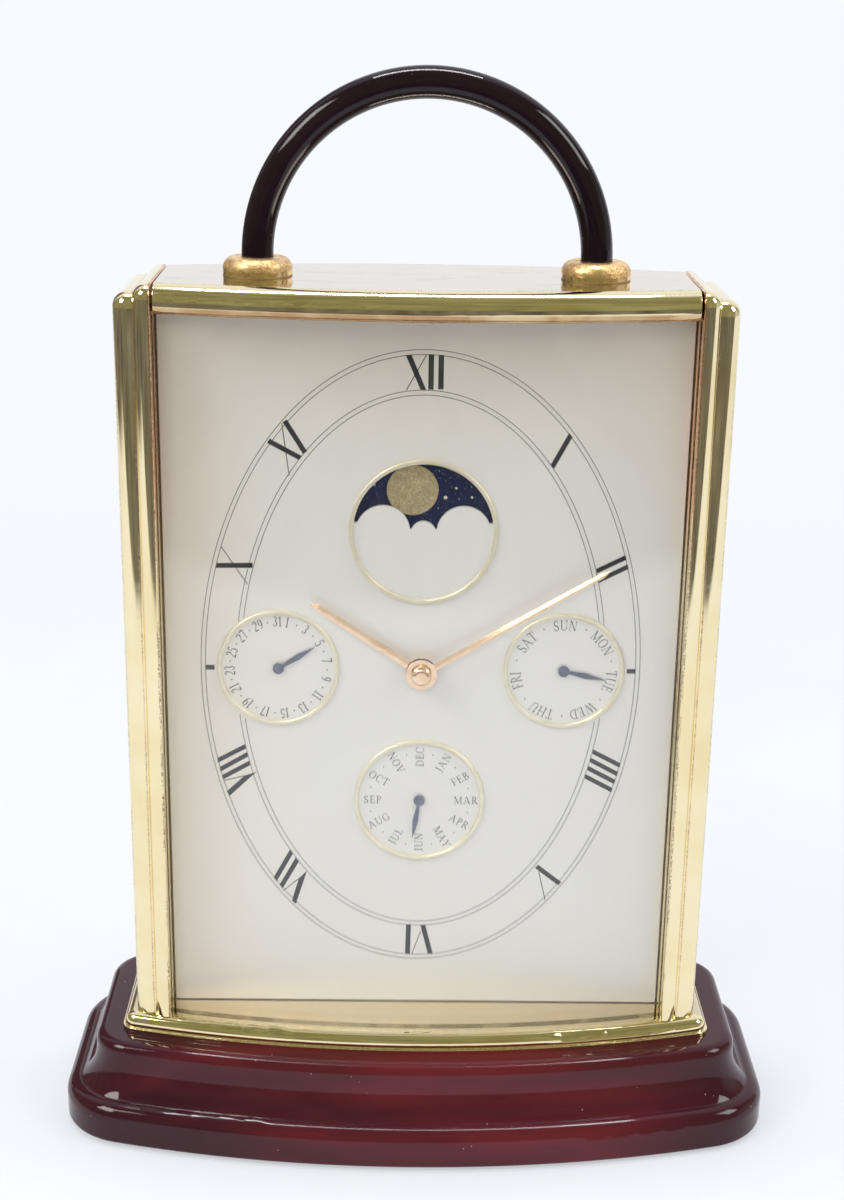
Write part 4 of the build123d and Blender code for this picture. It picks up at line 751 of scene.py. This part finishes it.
# Chapter: two pairs of oval lines that stop at the small dials, with hour numerals between them
chapter_x, chapter_z = -0.1, 114.55
hair = 0.16
lines = []
for rx, rz in ((51.05, 75.4), (50.05, 74.3), (42.9, 66.3), (41.8, 65.2)):
    for piece in ellipse_line(chapter_x, chapter_z, rx, rz, hair):
        px, pz = sum(p[0] for p in piece) / 4, sum(p[1] for p in piece) / 4
        if math.hypot(abs(px) - subdial_offset, pz - dial_centre) > subdial_reach:
            lines.append(piece)
fine_stroke = 0.2
numerals = [
    [(-4.5, 188.6), (-3.25, 188.75), (0.1, 180.95), (-1.15, 180.95)],
    bar(0.05, 188.7, -4.3, 180.8, fine_stroke),
    [(0.55, 181.0), (1.75, 181.0), (1.75, 188.85), (0.55, 188.85)],
    [(2.75, 181.05), (3.95, 181.1), (3.95, 188.75), (2.75, 188.8)],
    cut_bar(28.95, 164.1, 32.85, 171.5, 1.15),
    cut_bar(39.1, 138.9, 46.3, 142.6, 1.1),
    cut_bar(39.8, 136.7, 47.0, 140.45, 1.1),
    [(47.95, 114.35), (49.95, 114.35), (49.95, 115.45), (47.95, 115.45)],
    cut_bar(40.3, 94.85, 47.5, 91.05, 1.1),
    cut_bar(39.75, 92.75, 46.95, 88.85, 1.1),
    cut_bar(39.25, 90.65, 46.5, 86.75, 1.1),
    cut_bar(38.65, 88.55, 45.95, 84.6, 1.1),
    bar(28.6, 64.4, 34.4, 59.8, 1.15),
    bar(29.2, 63.0, 31.0, 55.4, fine_stroke),
    bar(-2.1, 48.45, -2.25, 40.35, 1.2),
    [(0.75, 48.3), (2.0, 48.3), (3.95, 40.5), (2.75, 40.4)],
    bar(0.9, 46.6, -1.2, 40.4, fine_stroke),
    cut_bar(-30.4, 67.9, -34.65, 59.95, 1.15),
    cut_bar(-29.0, 65.8, -33.2, 58.1, 1.15),
    [(-30.5, 54.6), (-28.75, 60.6), (-26.8, 62.65), (-27.5, 60.3), (-29.55, 53.65)],
    bar(-28.7, 60.6, -32.6, 57.2, fine_stroke),
    cut_bar(-40.2, 95.5, -47.65, 91.35, 1.1),
    cut_bar(-39.9, 93.4, -47.15, 89.05, 1.1),
    cut_bar(-39.4, 91.2, -46.7, 86.95, 1.1),
    [(-45.75, 83.35), (-41.5, 87.45), (-38.65, 88.4), (-40.3, 86.9), (-45.2, 82.05)],
    bar(-41.5, 87.4, -46.5, 86.1, fine_stroke),
    [(-50.1, 114.15), (-48.05, 114.15), (-48.05, 115.35), (-50.1, 115.35)],
    [(-47.2, 140.15), (-47.4, 139.0), (-38.9, 139.1), (-38.9, 140.3)],
    bar(-46.0, 144.1, -40.1, 135.1, fine_stroke),
    bar(-35.0, 168.9, -27.9, 165.05, 1.15),
    bar(-31.3, 173.5, -26.8, 166.3, 1.15),
    bar(-31.95, 172.9, -30.4, 160.9, fine_stroke),
]
black_ink = ink("dial_ink", (0.010, 0.010, 0.012), (0.022, 0.021, 0.022))
grey_ink = ink("hair_ink", (0.07, 0.068, 0.068), (0.12, 0.115, 0.11))


def print_on_dial(name, outlines, material):
    applied(name, outlines, dial_face, material, "case")


print_on_dial("chapter_lines", lines, grey_ink)
print_on_dial("hour_numerals", numerals, black_ink)


def around(cx, cz, radius, clockwise):
    """Place on a circle, by its angle clockwise from the top in degrees."""
    turn = math.radians(clockwise)
    return cx + radius * math.sin(turn), cz + radius * math.cos(turn)


# Date print: odd numbers with a dot at each even day, tops outward
letter_height, dot_place, dot_radius = 2.45, 11.3, 0.17
date_x, date_z = -subdial_offset, dial_centre
small_text = []
for day in range(1, 32):
    clockwise = 10.6 + (day - 1) * 360 / 31
    if day % 2:
        px, pz = around(date_x, date_z, 11.4, clockwise)
        small_text += lettering(str(day), px, pz, -clockwise, letter_height, 0.80, 0.06)
    else:
        small_text.append(dot(*around(date_x, date_z, dot_place, clockwise), dot_radius))
print_on_dial("date_numbers", small_text, black_ink)

# Day print: the letters follow the ring, tops outward, with a dot between the days
day_x, day_z = subdial_offset, dial_centre
squeeze, gap, radius = 0.82, 0.12, 11.25
small_text = []
for index, word in enumerate(("SUN", "MON", "TUE", "WED", "THU", "FRI", "SAT")):
    middle = index * 360 / 7
    widths = [glyphs[c][0] * squeeze for c in word]
    run = sum(widths) + gap * (len(word) - 1)
    pen = -run / 2
    for character, width in zip(word, widths):
        centre = (pen + width / 2) * letter_height
        clockwise = middle + math.degrees(centre / radius)
        px, pz = around(day_x, day_z, radius, clockwise)
        small_text += lettering(character, px, pz, -clockwise, letter_height, squeeze)
        pen += width + gap
    small_text.append(dot(*around(day_x, day_z, dot_place, middle + 180 / 7), dot_radius))
print_on_dial("day_names", small_text, black_ink)

# Month print: each name is straight, and the upper and lower halves read outward and inward
month_x, month_z = 0.0, dial_centre - subdial_offset
small_text = []
months = ("DEC", "JAN", "FEB", "MAR", "APR", "MAY", "JUN", "JUL", "AUG", "SEP", "OCT", "NOV")
turns = (90, 60, 30, 0, -30, -60, 90, 60, 30, 0, -30, -60)
for index, (word, turn) in enumerate(zip(months, turns)):
    px, pz = around(month_x, month_z, 11.1, index * 30)
    small_text += lettering(word, px, pz, turn, 1.9, 0.96, 0.15)
    small_text.append(dot(*around(month_x, month_z, 12.0, index * 30 + 15), 0.15))
print_on_dial("month_names", small_text, black_ink)

# Moons and stars printed on the turning disc: the same picture twice, half a turn apart
moon_x, moon_z = 0.0, dial_centre + subdial_offset + 0.2
disc_face = span("moon_disc")[0].y
moons, stars = [], []
star_places = (
    (4.9, 7.8, 0.45), (10.9, 7.9, 0.3), (7.3, 10.0, 0.3), (-11.2, 10.6, 0.3), (6.1, 14.2, 0.2),
    (3.4, 14.0, 0.13), (3.3, 5.3, 0.13), (10.8, 10.3, 0.13), (8.0, 7.5, 0.13),
)
for side in (1, -1):
    moons.append(dot(moon_x - 2.55 * side, moon_z + 9.45 * side, 5.85, 72))
    for px, pz, radius in star_places:
        points = []
        for i in range(8):
            reach = radius * (1.0 if i % 2 == 0 else 0.85)
            turn = math.radians(90 + 45 * i)
            x, z = px * side + reach * math.cos(turn), pz * side + reach * math.sin(turn)
            points.append((moon_x + x, moon_z + z))
        stars.append(points)
applied("moons", moons, disc_face, glitter(), "moon")
star_pale = ink("star_pale", (0.50, 0.48, 0.38), (0.66, 0.64, 0.54))
applied("moon_stars", stars, disc_face, star_pale, "moon")


# Floor, sweep, room and light
def stage_material(name):
    """Pale paper; a mirror sees a dim room beyond its front edge and far out at the left."""
    look = Look(name)
    grain = look.noise(60, 3, 0.6)
    tone = look.mix(look.range(grain, 0.3, 0.7), (0.560, 0.573, 0.606), (0.540, 0.555, 0.592))
    paper = look.surface(tone, look.range(grain, 0.3, 0.7, 0.75, 0.85), look.bump(grain, 0.1, 0.5))
    far = look.range(look.math("ABSOLUTE", look.x), 350.0, 1500.0)
    behind = look.range(look.y, 100.0, 600.0)
    share = look.larger(look.larger(far, behind), 0.5)
    glow = look.node("ShaderNodeEmission", {0: backdrop, 1: 1.0}).outputs[0]
    lit = look.node("ShaderNodeMixShader", {0: share, 1: paper, 2: glow}).outputs[0]
    streak = look.noise(70, 3, 0.7, (1, 6, 1))
    shade = look.mix(look.range(streak, 0.30, 0.72), (0.055, 0.052, 0.046), (0.30, 0.285, 0.25))
    room = look.node("ShaderNodeEmission", {0: shade, 1: 1.0}).outputs[0]
    mirror = look.node("ShaderNodeLightPath").outputs["Is Glossy Ray"]
    in_front = look.range(look.y, -395.0, -440.0)
    beside = look.range(look.x, -700.0, -850.0)
    share = look.times(mirror, look.larger(in_front, beside))
    return look.finish(look.node("ShaderNodeMixShader", {0: share, 1: lit, 2: room}).outputs[0])


def sweep():
    """Floor that curves up into a wall behind the clock."""
    profile = [(-2.6, 0.0), (-0.45, 0.0), (-0.39, 0.0), (0.0, 0.0), (0.9, 0.0)]
    bend, centre_y = 0.7, 0.9
    for i in range(1, 13):
        turn = math.pi / 2 * i / 12
        profile.append((centre_y + bend * math.sin(turn), bend * (1 - math.cos(turn))))
    profile.append((centre_y + bend, 2.6))
    points, faces = [], []
    across = [-2.6, -0.6, 0.6, 2.6]
    for y, z in profile:
        points += [(x, y, z) for x in across]
    for i in range(len(profile) - 1):
        for j in range(3):
            a = i * 4 + j
            faces.append((a, a + 1, a + 5, a + 4))
    mesh = bpy.data.meshes.new("paper_sweep")
    mesh.from_pydata(points, [], faces)
    for face in mesh.polygons:
        face.use_smooth = True
    mesh.materials.append(stage_material("pale_paper"))
    made = bpy.data.objects.new("paper_sweep", mesh)
    bpy.context.scene.collection.objects.link(made)


sweep()


def softbox(name, place, aim, width, height, power, colour, mirrored=True):
    """Soft lamp; one that isn't mirrored lights the clock without a highlight."""
    data = bpy.data.lights.new(name, "AREA")
    data.shape = "RECTANGLE"
    data.size, data.size_y = width, height
    data.energy = power
    data.color = colour
    made = bpy.data.objects.new(name, data)
    made.location = place
    made.rotation_euler = (Vector(aim) - Vector(place)).to_track_quat("-Z", "Y").to_euler()
    made.visible_glossy = mirrored
    bpy.context.scene.collection.objects.link(made)


softbox("key_softbox", (-0.95, -0.55, 1.05), (0, 0, 0.12), 0.5, 0.5, 8.2, (1.0, 0.985, 0.96))
softbox("fill_softbox", (1.05, -0.35, 0.95), (0, 0, 0.12), 0.45, 0.55, 5.6, (0.97, 0.985, 1.0))
softbox("front_softbox", (-0.25, -1.15, 0.85), (0, 0, 0.12), 0.7, 0.5, 4.4, (1.0, 0.98, 0.96), False)
softbox("top_softbox", (0.0, 0.1, 1.5), (0, 0, 0.1), 0.9, 0.14, 12.0, (1.0, 1.0, 1.0))

world = bpy.data.worlds.new("studio")
bpy.context.scene.world = world
world.use_nodes = True
tree = world.node_tree
tree.nodes.clear()


def sky_node(kind, inputs=None, **settings):
    made = tree.nodes.new(kind)
    for key, value in settings.items():
        setattr(made, key, value)
    for key, value in (inputs or {}).items():
        if isinstance(value, bpy.types.NodeSocket):
            tree.links.new(value, made.inputs[key])
        else:
            made.inputs[key].default_value = value
    return made


def sky_math(operation, a, b=0.0):
    return sky_node("ShaderNodeMath", {0: a, 1: b}, operation=operation).outputs[0]


def sky_range(value, low, high):
    inputs = {"Value": value, "From Min": low, "From Max": high}
    return sky_node("ShaderNodeMapRange", inputs, interpolation_type="SMOOTHSTEP").outputs[0]


def sky_mix(share, a, b):
    return sky_node("ShaderNodeMix", {0: share, 6: a, 7: b}, data_type="RGBA").outputs[2]


def sky(colour):
    return sky_node("ShaderNodeBackground", {0: colour}).outputs[0]


way = sky_node("ShaderNodeTexCoord").outputs["Generated"]
rightward, backward, upward = sky_node("ShaderNodeSeparateXYZ", {0: way}).outputs
ambient = sky_mix(sky_range(upward, 0.30, 0.80), (0.54, 0.485, 0.39, 1.0), (0.90, 0.93, 0.97, 1.0))

# What polished pieces mirror: white behind, above and far to the right, and a dim streaky room in front
upright = sky_node("ShaderNodeVectorMath", {0: way, 1: (7.0, 7.0, 0.8)}, operation="MULTIPLY").outputs[0]
noise_inputs = {"Vector": upright, "Scale": 1.0, "Detail": 3.0, "Roughness": 0.65}
streaks = sky_node("ShaderNodeTexNoise", noise_inputs).outputs[0]
dim = sky_mix(sky_range(streaks, 0.32, 0.72), (0.19, 0.19, 0.105, 1.0), (0.35, 0.345, 0.19, 1.0))
above = sky_math("ADD", sky_math("MULTIPLY", upward, 0.6), sky_math("MULTIPLY", backward, 0.8))
aside = sky_math("MULTIPLY", sky_range(rightward, 0.88, 0.99), 0.6)
open_share = sky_math("MAXIMUM", sky_range(above, 0.42, 0.66), aside)
mirrored = sky_mix(open_share, dim, (0.86, 0.89, 0.95, 1.0))
path = sky_node("ShaderNodeLightPath").outputs
unseen = sky_node("ShaderNodeMixShader", {0: path["Is Glossy Ray"], 1: sky(ambient), 2: sky(mirrored)})
direct = sky_math("MAXIMUM", path["Is Camera Ray"], path["Is Transmission Ray"])
chosen = sky_node("ShaderNodeMixShader", {0: direct, 1: unseen.outputs[0], 2: sky((*backdrop, 1.0))})
sky_node("ShaderNodeOutputWorld", {0: chosen.outputs[0]})
bpy.context.scene.view_settings.view_transform = "Standard"

# Camera, from the fit to the photograph
focal, frame_height = 1873.371, 1200.0
yaw, pitch, roll = 0.014, 0.3198, 0.016
forward = Vector((math.sin(yaw) * math.cos(pitch), math.cos(yaw) * math.cos(pitch), -math.sin(pitch)))
right = Vector((math.cos(yaw), -math.sin(yaw), 0.0))
up = right.cross(forward)
right_rolled = math.cos(roll) * right + math.sin(roll) * up
up_rolled = -math.sin(roll) * right + math.cos(roll) * up
turned = Matrix((right_rolled, up_rolled, -forward)).transposed()
lens_data = bpy.data.cameras.new("camera")
lens_data.sensor_fit = "AUTO"
lens_data.sensor_width = 36.0
lens_data.lens = focal / frame_height * lens_data.sensor_width
lens_data.clip_start, lens_data.clip_end = 0.01, 20.0
camera = bpy.data.objects.new("camera", lens_data)
camera.matrix_world = Matrix.Translation((-0.00580, -0.41761, 0.26731)) @ turned.to_4x4()
bpy.context.scene.collection.objects.link(camera)
bpy.context.scene.camera = camera
